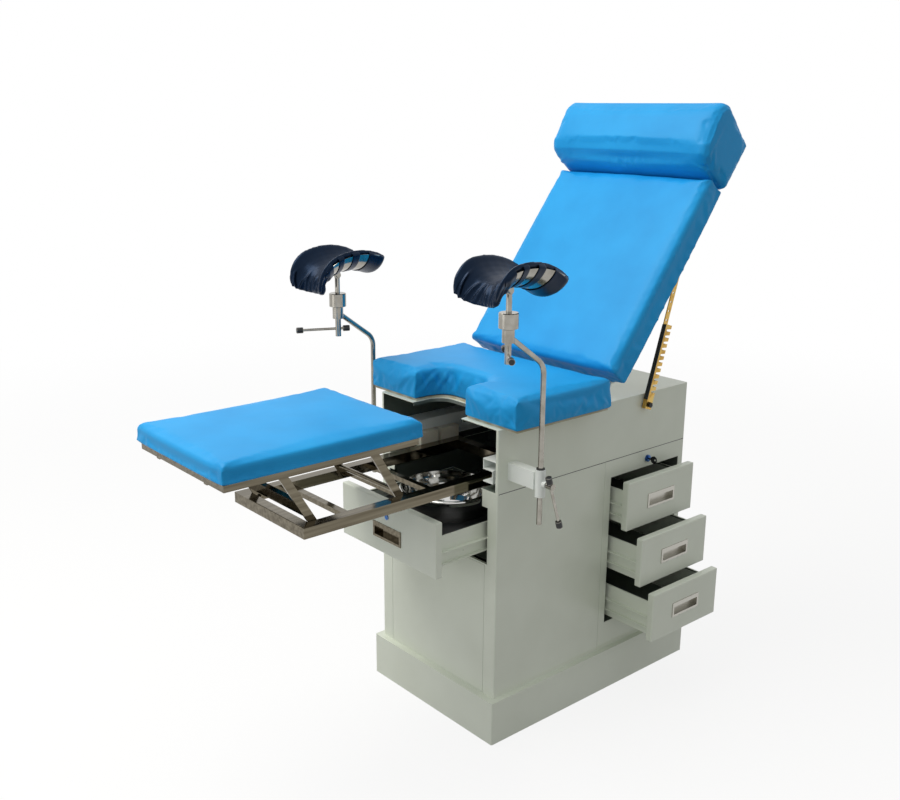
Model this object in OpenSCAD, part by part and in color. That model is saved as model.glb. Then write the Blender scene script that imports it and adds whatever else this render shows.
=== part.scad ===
// Gynaecological examination table: steel cabinet with drawers and wash basin, a pull-out
// leg rest on a swing linkage, a notched seat, a reclining back and two knee crutches.
// Origin at the middle of the plinth's underside, +Z up, foot end towards -Y,
// side drawers towards +X. All lengths in millimetres, all angles in degrees.

/* [Plinth] */
// Height of the plinth
plinth_h = 116; // [80:1:160]
// How far the plinth stands out past each side of the cabinet
plinth_side_step = 15; // [5:1:40]
// How far it stands out past the foot end of the cabinet
plinth_foot_step = 18.5; // [5:0.5:40]
// How far it stands out past the head end of the cabinet
plinth_head_step = 33.5; // [5:0.5:60]
// Width of the plinth's top lip under the cabinet
plinth_lip = 30; // [15:1:60]

/* [Cabinet] */
// Width of the cabinet
cab_w = 450; // [430:1:500]
// Length of the cabinet
cab_l = 710; // [690:1:780]
// Height of the drawer cabinet above the plinth
lower_h = 542; // [530:1:600]
// Height of the upper box that takes the leg rest
upper_h = 160; // [150:1:200]
// Thickness of the sheet steel
sheet = 2; // [1.2:0.1:3]
// Corner radius of the upright edges
cab_edge_r = 4; // [2:0.5:8]
// Distance from each side of the cabinet to the front drawer's opening
front_open_step = 33; // [26:1:40]
// Height of the front panel below the front drawer, measured from the plinth
front_sill_h = 354; // [330:1:380]
// Width and height of the corner blocks over the front drawer
corner_block_w = 20; // [10:1:30]
corner_block_h = 42; // [30:1:50]
// Width of the opening for the side drawers
side_open_w = 281; // [260:1:300]
// Height of the opening for the side drawers
side_open_h = 417; // [400:1:430]
// Height of its sill above the plinth
side_sill_h = 77; // [60:1:90]
// Distance from the opening to the cabinet's head end
side_open_step = 21.5; // [15:0.5:40]
// Width of the open slot in the upper box's floor
floor_slot_w = 336; // [320:1:350]
// Length of that slot from the foot end
floor_slot_l = 392; // [380:1:420]

/* [Seat] */
// Width of the seat cushion
seat_w = 560; // [500:1:620]
// Length of the seat cushion
seat_l = 333; // [320:1:350]
// Thickness of the seat cushion
seat_t = 79; // [60:1:90]
// Width of the notch in the seat's foot end
notch_w = 186; // [150:1:220]
// Depth of the notch
notch_l = 97; // [80:1:120]
// Corner radius of the notch
notch_r = 46; // [30:1:60]
// Thickness of the seat's board
seat_board_t = 5; // [4:0.5:12]

/* [Leg rest] */
// Width of the pull-out frame
frame_w = 292; // [280:2:300]
// Length of the pull-out frame
frame_l = 690; // [660:1:700]
// How far the frame stands out of the cabinet
frame_out = 488; // [470:1:500]
// Height of the frame's tubes
frame_tube_h = 25; // [20:1:30]
// Width of the frame's tubes
frame_tube_w = 28; // [20:1:32]
// Height of the frame's underside above the floor
frame_z = 652; // [640:1:656]
// Length of a swing link between its pivots
link_l = 180; // [160:1:200]
// Lean of the links towards the foot end
link_lean = 31; // [25:0.5:35]
// Distance between the foot and head links
link_pitch = 239; // [220:1:260]
// Width of the leg cushion
leg_w = 390; // [360:1:410]
// Length of the leg cushion
leg_l = 515; // [480:1:530]
// Thickness of the leg cushion
leg_t = 46; // [40:1:60]

/* [Backrest] */
// Width of the backrest cushion
back_w = 542; // [500:1:600]
// Length of the backrest cushion, up to the head pillow
back_l = 590; // [520:1:650]
// Thickness of the backrest cushion
back_t = 75; // [60:1:90]
// Angle of the backrest above level
back_angle = 52.6; // [45:0.1:60]
// Height of the head pillow above the backrest
pillow_h = 83; // [60:1:110]
// Length of the head pillow
pillow_l = 172; // [140:1:220]

/* [Drawers] */
// How far the front drawer stands open
front_drawer_out = 157; // [0:1:300]
// How far each side drawer stands open, from the top
side_drawer_out = [57, 112, 159]; // [0:1:170]
// Thickness of the drawer fronts
drawer_front_t = 18; // [12:1:22]
// Length of the front drawer's box
front_box_l = 350; // [300:1:360]
// Length of a side drawer's box
side_box_l = 370; // [300:1:375]
// Rim radius of the wash basin
basin_r = 115; // [100:1:140]
// Depth of the wash basin
basin_h = 106; // [80:1:110]

/* [Knee crutches] */
// Distance of each crutch rod from the middle of the table
rod_x = 320; // [310:1:340]
// Diameter of the crutch rod
rod_d = 13; // [12:0.5:16]
// Length of the rod's upright stretch, up to its bend
rod_up = 382; // [340:1:420]
// How far the rod reaches towards the foot
rod_reach = 112; // [90:1:140]
// Lean of the rod's upper stretch
rod_lean = 54; // [45:1:60]
// Height of the lower end of the right rod, then of the left one, above the floor
rod_foot_z = [604, 560]; // [520:1:625]
// Radius of the crutch trough
trough_r = 70; // [60:1:80]
// Radius of the trough's arch along the leg
trough_arch_r = 174; // [150:1:200]
// Thickness of the crutch padding
crutch_pad_t = 14; // [8:1:14]
// Tilt of the right crutch, then of the left one, head end up
crutch_tilt = [6.5, 19]; // [-25:0.5:25]

/* [Hidden] */
$fn = 48;
over = 1;
fit_gap = 0.3;
run_gap = 0.06;
seam_gap = 0.9;

enamel = "#c9d3cc";
bracket_white = "#dde5e2";
vinyl = "#46b1f2";
stainless = "#b9b4a8";
zinc = "#c9b27a";
leather = "#23262b";
black = "#1b1c1e";

// Heights and ends that several pieces share
seam_z = plinth_h + lower_h;
cab_top = seam_z + upper_h;
plinth_l = cab_l + plinth_foot_step + plinth_head_step;
plinth_w = cab_w + 2 * plinth_side_step;
foot_y = -plinth_l / 2 + plinth_foot_step;
head_y = foot_y + cab_l;
side_x = cab_w / 2;
front_open_w = cab_w - 2 * front_open_step;

// The two outlines that shells are cut from
module round_rect(size_x, size_y, r) {
    hull_x = size_x / 2 - r;
    hull_y = size_y / 2 - r;
    union() {
        square([size_x, 2 * hull_y], center = true);
        square([2 * hull_x, size_y], center = true);
        for (sx = [-1, 1], sy = [-1, 1]) translate([sx * hull_x, sy * hull_y]) circle(r);
    }
}

module span(from, to) {
    translate(from) cube(to - from);
}

// Lays a drawing in the X-Z plane and gives it a depth along +Y from y
module upright(y, depth) {
    translate([0, y + depth, 0]) rotate([90, 0, 0]) linear_extrude(depth) children();
}

// Lays a drawing in the Y-Z plane and gives it a thickness along +X from x
module sideways(x, thick) {
    translate([x, 0, 0]) rotate([90, 0, 90]) linear_extrude(thick) children();
}

module on_side(s) {
    if (s > 0) children();
    else mirror([1, 0, 0]) children();
}

module both_sides() {
    children();
    mirror([1, 0, 0]) children();
}

// Plinth
module plinth() {
    cab_mid_y = (foot_y + head_y) / 2;
    color(enamel) difference() {
        linear_extrude(plinth_h) round_rect(plinth_w, plinth_l, cab_edge_r);
        translate([0, 0, sheet])
            linear_extrude(plinth_h - 2 * sheet)
                round_rect(plinth_w - 2 * sheet, plinth_l - 2 * sheet, cab_edge_r);
        translate([0, cab_mid_y, sheet])
            linear_extrude(plinth_h)
                square([cab_w - 2 * plinth_lip, cab_l - 2 * plinth_lip], center = true);
    }
}

// Drawer cabinet
front_sill_z = plinth_h + front_sill_h;
front_panel_w = 368;
front_panel_t = 14;
panel_seam_y = 20;
top_return = 24;
side_sill_z = plinth_h + side_sill_h;
side_open_head = head_y - side_open_step;
side_open_foot = side_open_head - side_open_w;
side_open_mid = (side_open_head + side_open_foot) / 2;

module front_opening() {
    block_z = seam_z - corner_block_h;
    translate([-front_open_w / 2, front_sill_z])
        square([front_open_w, block_z - front_sill_z]);
    translate([-front_open_w / 2 + corner_block_w, front_sill_z])
        square([front_open_w - 2 * corner_block_w, seam_z + over - front_sill_z]);
}

module lower_cabinet() {
    mid_y = (foot_y + head_y) / 2;
    panel_z = plinth_h + sheet;
    color(enamel) difference() {
        translate([0, mid_y, plinth_h])
            linear_extrude(lower_h) round_rect(cab_w, cab_l, cab_edge_r);
        translate([0, mid_y, plinth_h + sheet])
            linear_extrude(lower_h - 2 * sheet)
                round_rect(cab_w - 2 * sheet, cab_l - 2 * sheet, cab_edge_r - sheet / 2);
        translate([0, mid_y, plinth_h + sheet])
            linear_extrude(lower_h)
                square([cab_w - 2 * top_return, cab_l - 2 * top_return], center = true);
        upright(foot_y - over, top_return + 2 * over) front_opening();
        // Opening behind the removable front panel
        upright(foot_y - over, sheet + 2 * over)
            translate([-front_panel_w / 2, panel_z])
                square([front_panel_w, front_sill_z - 2 * sheet - panel_z]);
        sideways(side_x - sheet - over, sheet + 2 * over)
            translate([side_open_foot, side_sill_z]) square([side_open_w, side_open_h]);
        // Panel joint between the front bay and the drawer bay, on both sides
        both_sides()
            span([side_x - seam_gap, panel_seam_y, plinth_h + sheet],
                 [side_x + over, panel_seam_y + seam_gap, seam_z - sheet]);
    }
}

// Removable panel under the front drawer, a shallow tray with its rim inside
module front_panel() {
    z0 = plinth_h + sheet + seam_gap;
    z1 = front_sill_z - 2 * sheet - seam_gap;
    half = front_panel_w / 2 - seam_gap;
    color(enamel) difference() {
        span([-half, foot_y, z0], [half, foot_y + front_panel_t, z1]);
        span([-half + sheet, foot_y + sheet, z0 + sheet],
             [half - sheet, foot_y + front_panel_t + over, z1 - sheet]);
    }
}

// Welded bay walls that carry the drawer runners
bay_x = front_open_w / 2;
bay_end_y = panel_seam_y - sheet;
drawer_back_gap = 25;
side_bay_depth = side_box_l + drawer_back_gap;

module inner_frame() {
    bay_z1 = seam_z - corner_block_h;
    wall_x = side_x - sheet - fit_gap;
    side_back_x = wall_x - side_bay_depth;
    bay_y0 = foot_y + top_return;
    color(enamel) union() {
        // Wall between the front bay and the drawer bay
        span([-wall_x, bay_end_y, plinth_h + sheet], [wall_x, bay_end_y + sheet, seam_z - sheet - fit_gap]);
        // Front bay: floor and runner plates
        span([-bay_x - sheet, bay_y0, front_sill_z - 2 * sheet],
             [bay_x + sheet, bay_end_y + sheet, front_sill_z - sheet]);
        both_sides()
            span([bay_x, bay_y0, front_sill_z - 2 * sheet], [bay_x + sheet, bay_end_y + sheet, bay_z1]);
        // Drawer bay: floor, two runner plates and a back
        span([side_back_x, bay_end_y, side_sill_z - 2 * sheet],
             [wall_x, side_open_head + sheet, side_sill_z - sheet]);
        span([side_back_x, side_open_foot - sheet, side_sill_z - 2 * sheet],
             [wall_x, side_open_foot, side_sill_z + side_open_h]);
        span([side_back_x, side_open_head, side_sill_z - 2 * sheet],
             [wall_x, side_open_head + sheet, side_sill_z + side_open_h]);
        span([side_back_x, side_open_foot - sheet, side_sill_z - 2 * sheet],
             [side_back_x + sheet, side_open_head + sheet, side_sill_z + side_open_h]);
    }
}

// Upper box
front_return = 8;
notch_lip_h = 10;

module notch_outline(grow) {
    w = notch_w + 2 * grow;
    r = notch_r + grow;
    translate([0, foot_y + notch_l + grow - r]) {
        translate([-w / 2, -cab_w]) square([w, cab_w]);
        translate([-w / 2 + r, 0]) square([w - 2 * r, r]);
        for (s = [-1, 1]) translate([s * (w / 2 - r), 0]) circle(r);
    }
}

module upper_box() {
    mid_y = (foot_y + head_y) / 2;
    color(enamel) difference() {
        union() {
            difference() {
                translate([0, mid_y, seam_z])
                    linear_extrude(upper_h) round_rect(cab_w, cab_l, cab_edge_r);
                translate([0, mid_y, seam_z + sheet])
                    linear_extrude(upper_h - 2 * sheet)
                        round_rect(cab_w - 2 * sheet, cab_l - 2 * sheet, cab_edge_r - sheet / 2);
            }
            // Turned-down lip round the notch
            translate([0, 0, cab_top - notch_lip_h]) linear_extrude(notch_lip_h - sheet / 2)
                intersection() {
                    notch_outline(sheet);
                    translate([-cab_w / 2, foot_y]) square([cab_w, cab_l]);
                }
        }
        // Open foot end, with narrow folded returns left standing
        span([-side_x + front_return, foot_y - over, seam_z + sheet],
             [side_x - front_return, foot_y + sheet + over, cab_top - sheet]);
        // Slot in the floor that the leg rest's frame and the basin look through
        span([-floor_slot_w / 2, foot_y - over, seam_z - over],
             [floor_slot_w / 2, foot_y + floor_slot_l, seam_z + sheet + over]);
        translate([0, 0, cab_top - notch_lip_h - over])
            linear_extrude(notch_lip_h + 2 * over) notch_outline(0);
    }
}

// Channels that guide the pull-out frame, set clear of the box's rounded corners
guide_end_gap = 3;
slot_rise = 22;
slot_z = seam_z + slot_rise;
slot_h = 28.6;
guide_wall = 2.5;
guide_rise = 78;
guide_top_z = seam_z + guide_rise;
slot_depth = 32;

module frame_guides() {
    in_x = floor_slot_w / 2;
    out_x = side_x - sheet - fit_gap;
    web_x = in_x + slot_depth;
    base_z = slot_z - guide_wall;
    roof_z = slot_z + slot_h;
    guide_in = sheet + guide_end_gap;
    color(bracket_white) both_sides() upright(foot_y + guide_in, cab_l - 2 * guide_in)
        difference() {
            translate([in_x, base_z]) square([out_x - in_x, guide_top_z - base_z]);
            translate([in_x - over, slot_z]) square([slot_depth + over, slot_h]);
            translate([web_x + guide_wall, base_z - over])
                square([out_x - web_x - 2 * guide_wall, guide_top_z - guide_wall - base_z + over]);
            translate([in_x + guide_wall, roof_z + guide_wall])
                square([out_x - in_x - 2 * guide_wall, guide_top_z - guide_wall * 2 - roof_z]);
        }
}

// Seat board and the places of the seat cushion
seat_foot_step = 5.5;
seat_foot_y = foot_y + seat_foot_step;
seat_board_in = 10;
seat_z0 = cab_top + seat_board_t + fit_gap;

module seat_board() {
    w = seat_w - 2 * seat_board_in;
    l = seat_l - 2 * seat_board_in;
    color("#8a7a62") translate([0, 0, cab_top]) linear_extrude(seat_board_t) difference() {
        translate([0, seat_foot_y + seat_l / 2]) square([w, l], center = true);
        notch_outline(2 * sheet);
    }
}

// Cushion forms. Each is a closed grid over the unit square: rows j run along the length,
// columns i across the width. place(s, t) gives the plan, the height rises from the edge
// over a rolled shoulder to a low crown, and the corners and sides are drawn in a little.
function roll(d, r) = d >= r ? 0 : r - sqrt(max(r * r - (r - d) * (r - d), 0));
function crown(s, t, h) = h * (1 - s * s) * (1 - t * t);
function drawn(s, t, pull) = 1 - pull * pow(abs(s), 6) * pow(abs(t), 6);
edge_shares = [0, 0.012, 0.035, 0.075, 0.16, 0.3];

// Places from 0 to 1 that crowd towards both ends
function crowded(inner) =
    let (half = [for (e = edge_shares) e],
         mid = [for (k = [1:inner]) 0.3 + 0.4 * k / (inner + 1)])
    concat(half, mid, [for (k = [len(half) - 1:-1:0]) 1 - half[k]]);

// Faces of a closed body from a top grid, a bottom grid and the side rings between them.
// Points come as rings 0..levels around the edge, then the inner top, then the inner bottom.
function grid_id(i, j, n, m) = j * n + i;
function rim_ids(n, m) = concat(
    [for (i = [0:n - 1]) grid_id(i, 0, n, m)],
    [for (j = [1:m - 1]) grid_id(n - 1, j, n, m)],
    [for (i = [n - 2:-1:0]) grid_id(i, m - 1, n, m)],
    [for (j = [m - 2:-1:1]) grid_id(0, j, n, m)]);

module grid_body(top, bottom, waists, n, m) {
    // top, bottom: n x m points; waists: rings of points from the bottom rim to the top rim
    rim = rim_ids(n, m);
    c = len(rim);
    nm = n * m;
    k = len(waists);
    flat_waists = [for (w = waists) each w];
    // ring 0 is the bottom rim, rings 1..k the waists, ring k+1 the top rim
    ring = concat([[for (r = rim) nm + r]],
                  [for (w = [0:1:k - 1]) [for (q = [0:c - 1]) 2 * nm + w * c + q]],
                  [[for (r = rim) r]]);
    top_faces = [for (j = [0:m - 2], i = [0:n - 2]) each [
        [grid_id(i, j, n, m), grid_id(i, j + 1, n, m), grid_id(i + 1, j + 1, n, m)],
        [grid_id(i, j, n, m), grid_id(i + 1, j + 1, n, m), grid_id(i + 1, j, n, m)]]];
    low_faces = [for (j = [0:m - 2], i = [0:n - 2]) each [
        [nm + grid_id(i, j, n, m), nm + grid_id(i + 1, j + 1, n, m), nm + grid_id(i, j + 1, n, m)],
        [nm + grid_id(i, j, n, m), nm + grid_id(i + 1, j, n, m), nm + grid_id(i + 1, j + 1, n, m)]]];
    side_faces = [for (w = [0:k], q = [0:c - 1]) let (p = (q + 1) % c) each [
        [ring[w][q], ring[w + 1][q], ring[w + 1][p]],
        [ring[w][q], ring[w + 1][p], ring[w][p]]]];
    polyhedron(points = concat(top, bottom, flat_waists),
               faces = concat(top_faces, low_faces, side_faces), convexity = 6);
}

// A plain box cushion lying in X-Y: rolled top edge, crown, sides drawn in at mid height
module cushion(w, l, t, r, crown_h, pull, waist, inner_w, inner_l) {
    us = crowded(inner_w);
    vs = crowded(inner_l);
    n = len(us);
    m = len(vs);
    plan = [for (v = vs, u = us) let (s = 2 * u - 1, q = 2 * v - 1)
        [w / 2 * s * drawn(s, q, pull), l / 2 * q * drawn(s, q, pull)]];
    edge = [for (v = vs, u = us) min(min(u, 1 - u) * w, min(v, 1 - v) * l)];
    top = [for (v = [0:m - 1], u = [0:n - 1]) let (k = v * n + u, s = 2 * us[u] - 1, q = 2 * vs[v] - 1)
        [plan[k].x, plan[k].y, t - roll(edge[k], r) + crown(s, q, crown_h)]];
    low_r = r / 3;
    bottom = [for (v = [0:m - 1], u = [0:n - 1]) let (k = v * n + u)
        [plan[k].x, plan[k].y, roll(edge[k], low_r)]];
    rim = rim_ids(n, m);
    waists = [for (h = [1:3]) [for (q = rim) let (
        z = low_r + (t - r - low_r) * h / 4,
        f = 1 - waist * sin(180 * h / 4) / l)
        [plan[q].x * f, plan[q].y * f, z]]];
    grid_body(top, bottom, waists, n, m);
}

// Seat cushion with its notch
seat_roll_r = 13;
seat_crown_h = 5;
function notch_edge_y(x) =
    let (a = abs(x), h = notch_w / 2)
    a >= h ? 0 : a <= h - notch_r ? notch_l
           : notch_l - notch_r + sqrt(max(notch_r * notch_r - (a - h + notch_r) * (a - h + notch_r), 0));
function notch_gap(x, y) =
    let (qx = abs(x) - (notch_w / 2 - notch_r), qy = y - (notch_l - notch_r))
    norm([max(qx, 0), max(qy, 0)]) - notch_r;

module seat_cushion() {
    h = notch_w / 2;
    lean_in = notch_r / 20;
    half = [0, 0.35 * h, h - notch_r, h - 0.72 * notch_r, h - 0.45 * notch_r, h - 0.22 * notch_r,
            h - lean_in, h + lean_in, h + 3 * lean_in, h + 7 * lean_in, (h + seat_w / 2) / 2,
            seat_w / 2 * 0.87, seat_w / 2 * 0.955, seat_w / 2 * 0.987, seat_w / 2];
    xs = concat([for (k = [len(half) - 1:-1:1]) -half[k]], half);
    vs = [0, 0.012, 0.035, 0.09, 0.2, 0.35, 0.5, 0.65, 0.8, 0.91, 0.965, 0.988, 1];
    n = len(xs);
    m = len(vs);
    plan = [for (v = vs, x = xs) let (
        y0 = notch_edge_y(x),
        y = y0 + (seat_l - y0) * v,
        s = x / (seat_w / 2),
        q = 2 * y / seat_l - 1) [x * drawn(s, q, 0.02), y]];
    edge = [for (p = plan) min(p.y, seat_l - p.y, seat_w / 2 - abs(p.x), max(notch_gap(p.x, p.y), 0))];
    top = [for (k = [0:n * m - 1]) let (p = plan[k], s = p.x / (seat_w / 2), q = 2 * p.y / seat_l - 1)
        [p.x, p.y, seat_t - seat_crown_h - roll(edge[k], seat_roll_r)
            + seat_crown_h * (1 - s * s * s * s) * (1 - q * q * q * q)]];
    bottom = [for (k = [0:n * m - 1]) [plan[k].x, plan[k].y, roll(edge[k], seat_roll_r / 4)]];
    rim = rim_ids(n, m);
    waist_in = 0.006;
    waists = [for (g = [1:2]) [for (q = rim) let (
        f = 1 - waist_in * sin(180 * g / 3), c = seat_l / 2)
        [plan[q].x * f, c + (plan[q].y - c) * f,
         seat_roll_r / 4 + (seat_t - seat_roll_r * 1.4) * g / 3]]];
    color(vinyl) translate([0, seat_foot_y, seat_z0]) grid_body(top, bottom, waists, n, m);
}

// Swing linkage places
frame_foot_y = foot_y - frame_out;
frame_head_y = frame_foot_y + frame_l;
rail_out = frame_w / 2;
rail_in = rail_out - frame_tube_w;
link_t = 5;
link_w = 20;
link_pin_d = 8;
link_x = rail_in - link_t - 4 * fit_gap;
link_pin_up = 13;
link_foot_in = 47.5;
link_low_z = frame_z + link_pin_up;
link_foot_y = frame_foot_y + link_foot_in;
link_head_y = link_foot_y + link_pitch;
link_dy = -link_l * sin(link_lean);
link_dz = link_l * cos(link_lean);
bearer_w = 13;
bearer_x = link_x - 3 * fit_gap - bearer_w;
sub_tube_h = 18;
sub_top_z = link_low_z + link_dz + link_w / 2 + fit_gap;
leg_z0 = sub_top_z + fit_gap;
leg_past_pin = 105.7;
leg_head_y = link_head_y + link_dy + leg_past_pin;
leg_foot_y = leg_head_y - leg_l;

// Pull-out frame, welded from rectangular tube, with the lower link pins
module cross_tube(y, w, z0, h) {
    span([-rail_in - over, y - w / 2, z0], [rail_in + over, y + w / 2, z0 + h]);
}

module leg_slide_frame() {
    tube_wall = 1.5;
    low_bar_h = 12;
    color(stainless) difference() {
        union() {
            both_sides() span([rail_in, frame_foot_y, frame_z],
                              [rail_out, frame_head_y, frame_z + frame_tube_h]);
            cross_tube(frame_foot_y + frame_tube_w / 2, frame_tube_w, frame_z, frame_tube_h);
            cross_tube(frame_head_y - frame_tube_w / 2, frame_tube_w, frame_z, frame_tube_h);
            cross_tube(link_foot_y + 0.4 * link_pitch, frame_tube_w * 0.6, frame_z, low_bar_h);
            cross_tube(link_head_y + frame_tube_w, frame_tube_w * 0.5, frame_z, low_bar_h);
            cross_tube(link_head_y + 0.42 * link_pitch, frame_tube_w * 0.55, frame_z, low_bar_h);
            for (y = [link_foot_y, link_head_y], s = [-1, 1])
                translate([s > 0 ? bearer_x + bearer_w / 2 : -rail_in - over, y, link_low_z])
                    rotate([0, 90, 0])
                        cylinder(d = link_pin_d, h = rail_in + over - bearer_x - bearer_w / 2);
        }
        both_sides() span([rail_in + tube_wall, frame_foot_y + frame_tube_w, frame_z + tube_wall],
                          [rail_out - tube_wall, frame_head_y + over,
                           frame_z + frame_tube_h - tube_wall]);
    }
}

// Nylon glides on the frame's rear end that run in the channels
glide_l = 60;
module frame_glides() {
    out_x = rail_out + fit_gap;
    tip_x = floor_slot_w / 2 + slot_depth - 2 * fit_gap;
    step_x = floor_slot_w / 2 - guide_wall;
    tongue_z = slot_z + fit_gap;
    tongue_h = slot_h - 2 * fit_gap;
    color("#e8e2d0") both_sides() for (y = [frame_head_y - glide_l, frame_head_y - 2.2 * glide_l])
        upright(y, glide_l) union() {
            translate([out_x, frame_z + 2 * fit_gap])
                square([step_x - out_x, tongue_z + tongue_h - frame_z - 2 * fit_gap]);
            translate([out_x, tongue_z]) square([tip_x - out_x, tongue_h]);
        }
}

// One swing link: flat bar with round ends and two pin holes, drawn from its lower pivot
module link_bar(top_clear) {
    difference() {
        union() {
            translate([-link_w / 2, 0]) square([link_w, link_l]);
            circle(d = link_w);
            translate([0, link_l]) circle(d = link_w);
        }
        circle(d = link_pin_d + 2 * run_gap);
        translate([0, link_l]) circle(d = link_pin_d + 2 * top_clear);
    }
}

module link_pair(y, top_clear) {
    both_sides() translate([0, y, link_low_z]) rotate([link_lean, 0, 0]) sideways(link_x, link_t)
        link_bar(top_clear);
}

module foot_links() {
    plate_from = 0.2 * link_l;
    plate_to = 0.46 * link_l;
    plate_t = 2;
    color(stainless) union() {
        link_pair(link_foot_y, run_gap);
        // Stop plate that ties the two foot links
        translate([0, link_foot_y, link_low_z]) rotate([link_lean, 0, 0]) {
            span([-link_x - over, -link_w / 2, plate_from], [link_x + over, plate_t - link_w / 2, plate_to]);
            span([-link_x - over, -link_w / 2, plate_to - plate_t], [link_x + over, 0, plate_to]);
        }
    }
}

module head_links() {
    tie_d = 12;
    tie_at = 0.16 * link_l;
    color(stainless) union() {
        link_pair(link_head_y, fit_gap);
        translate([-link_x - over, link_head_y, link_low_z]) rotate([link_lean, 0, 0])
            translate([0, 0, tie_at]) rotate([0, 90, 0]) cylinder(d = tie_d, h = 2 * (link_x + over));
    }
}

// Frame under the leg cushion, with the upper link pins
sub_in = 14;
module leg_subframe() {
    z0 = sub_top_z - sub_tube_h;
    x_out = leg_w / 2 - sub_in;
    y0 = leg_foot_y + sub_in;
    y1 = leg_head_y - sub_in;
    rim_w = 20;
    rim_h = 0.8 * sub_tube_h;
    pin_y = [link_foot_y + link_dy, link_head_y + link_dy];
    color(stainless) union() {
        // Outer rim, folded from sheet as an angle
        difference() {
            span([-x_out, y0, sub_top_z - rim_h], [x_out, y1, sub_top_z]);
            span([-x_out + sheet, y0 + sheet, sub_top_z - rim_h - over],
                 [x_out - sheet, y1 - sheet, sub_top_z - sheet]);
            span([-x_out + rim_w, y0 + rim_w, sub_top_z - rim_h - over],
                 [x_out - rim_w, y1 - rim_w, sub_top_z + over]);
        }
        both_sides() span([bearer_x, y0 + sheet / 2, z0], [bearer_x + bearer_w, y1 - sheet / 2, sub_top_z]);
        for (y = [pin_y[0] - 2 * rim_w, pin_y[1] + 2 * rim_w])
            span([-x_out + sheet / 2, y - rim_w / 2, sub_top_z - rim_h],
                 [x_out - sheet / 2, y + rim_w / 2, sub_top_z]);
        for (y = pin_y, s = [-1, 1])
            translate([s > 0 ? bearer_x + bearer_w - over : -link_x - link_t - 3 * fit_gap, y,
                       link_low_z + link_dz])
                rotate([0, 90, 0]) cylinder(d = link_pin_d, h = link_t + over + 6 * fit_gap);
        for (y = pin_y, s = [-1, 1])
            translate([s > 0 ? link_x + link_t + 2 * fit_gap : -link_x - link_t - 2 * fit_gap - link_t / 2,
                       y, link_low_z + link_dz])
                rotate([0, 90, 0]) cylinder(d = 1.7 * link_pin_d, h = link_t / 2);
    }
}

module leg_cushion() {
    crown_h = 3;
    roll_r = 11;
    waist = 4;
    color(vinyl) translate([0, (leg_foot_y + leg_head_y) / 2, leg_z0])
        cushion(leg_w, leg_l, leg_t - crown_h, roll_r, crown_h, 0.02, waist, 1, 2);
}

// Backrest: everything is drawn level from the hinge, length along +Y, then raised
hinge_y = -4;
hinge_rise = 24;
hinge_z = cab_top + hinge_rise;
hinge_pin_d = 10;
hinge_x = 215;
ear_t = 4;
lug_t = 4;
lug_r = 12;
back_from = 40;
back_under = -15;
back_top = back_under + back_t;
pillow_from = back_from + back_l + fit_gap;
pan_t = 8;
pan_w = 444;

module raised() {
    translate([0, hinge_y, hinge_z]) rotate([back_angle, 0, 0]) children();
}

module hinge_brackets() {
    base_l = 40;
    base_t = 3;
    color("#e3ddc8") both_sides() for (s = [-1, 1]) {
        x0 = hinge_x + s * (lug_t / 2 + 3 * fit_gap + ear_t / 2) - ear_t / 2;
        sideways(x0, ear_t) difference() {
            union() {
                translate([hinge_y, hinge_z]) circle(lug_r);
                translate([hinge_y - lug_r, cab_top]) square([2 * lug_r, hinge_z - cab_top]);
                translate([hinge_y - lug_r, cab_top]) square([base_l, base_t]);
            }
            translate([hinge_y, hinge_z]) circle(d = hinge_pin_d + 2 * run_gap);
        }
    }
}

// Pins that stay with the cabinet: the two hinge pins and the two strut bolts
strut_y = 165;
strut_rise = 132;
strut_z = seam_z + strut_rise;
strut_gap = 4;
strut_x = side_x + strut_gap;
strut_t = 12;
bolt_d = 8;
module pivot_pins() {
    ear_span = lug_t + 2 * ear_t + 6 * fit_gap;
    head_t = 2.5;
    head_d = 15;
    bolt_washer_d = 14;
    bolt_head_d = 15;
    bolt_head_l = 6;
    color(black) both_sides() {
        translate([hinge_x - ear_span / 2 - head_t, hinge_y, hinge_z]) rotate([0, 90, 0]) {
            cylinder(d = hinge_pin_d, h = ear_span + 2 * head_t);
            cylinder(d = head_d, h = head_t - fit_gap);
            translate([0, 0, ear_span + head_t + fit_gap]) cylinder(d = head_d, h = head_t - fit_gap);
        }
        translate([side_x, strut_y, strut_z]) rotate([0, 90, 0]) {
            cylinder(d = bolt_d, h = strut_gap + strut_t + over);
            cylinder(d = bolt_washer_d, h = strut_gap - fit_gap);
            translate([0, 0, strut_gap + strut_t + fit_gap])
                cylinder(d = bolt_head_d, h = bolt_head_l, $fn = 6);
        }
    }
}

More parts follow.
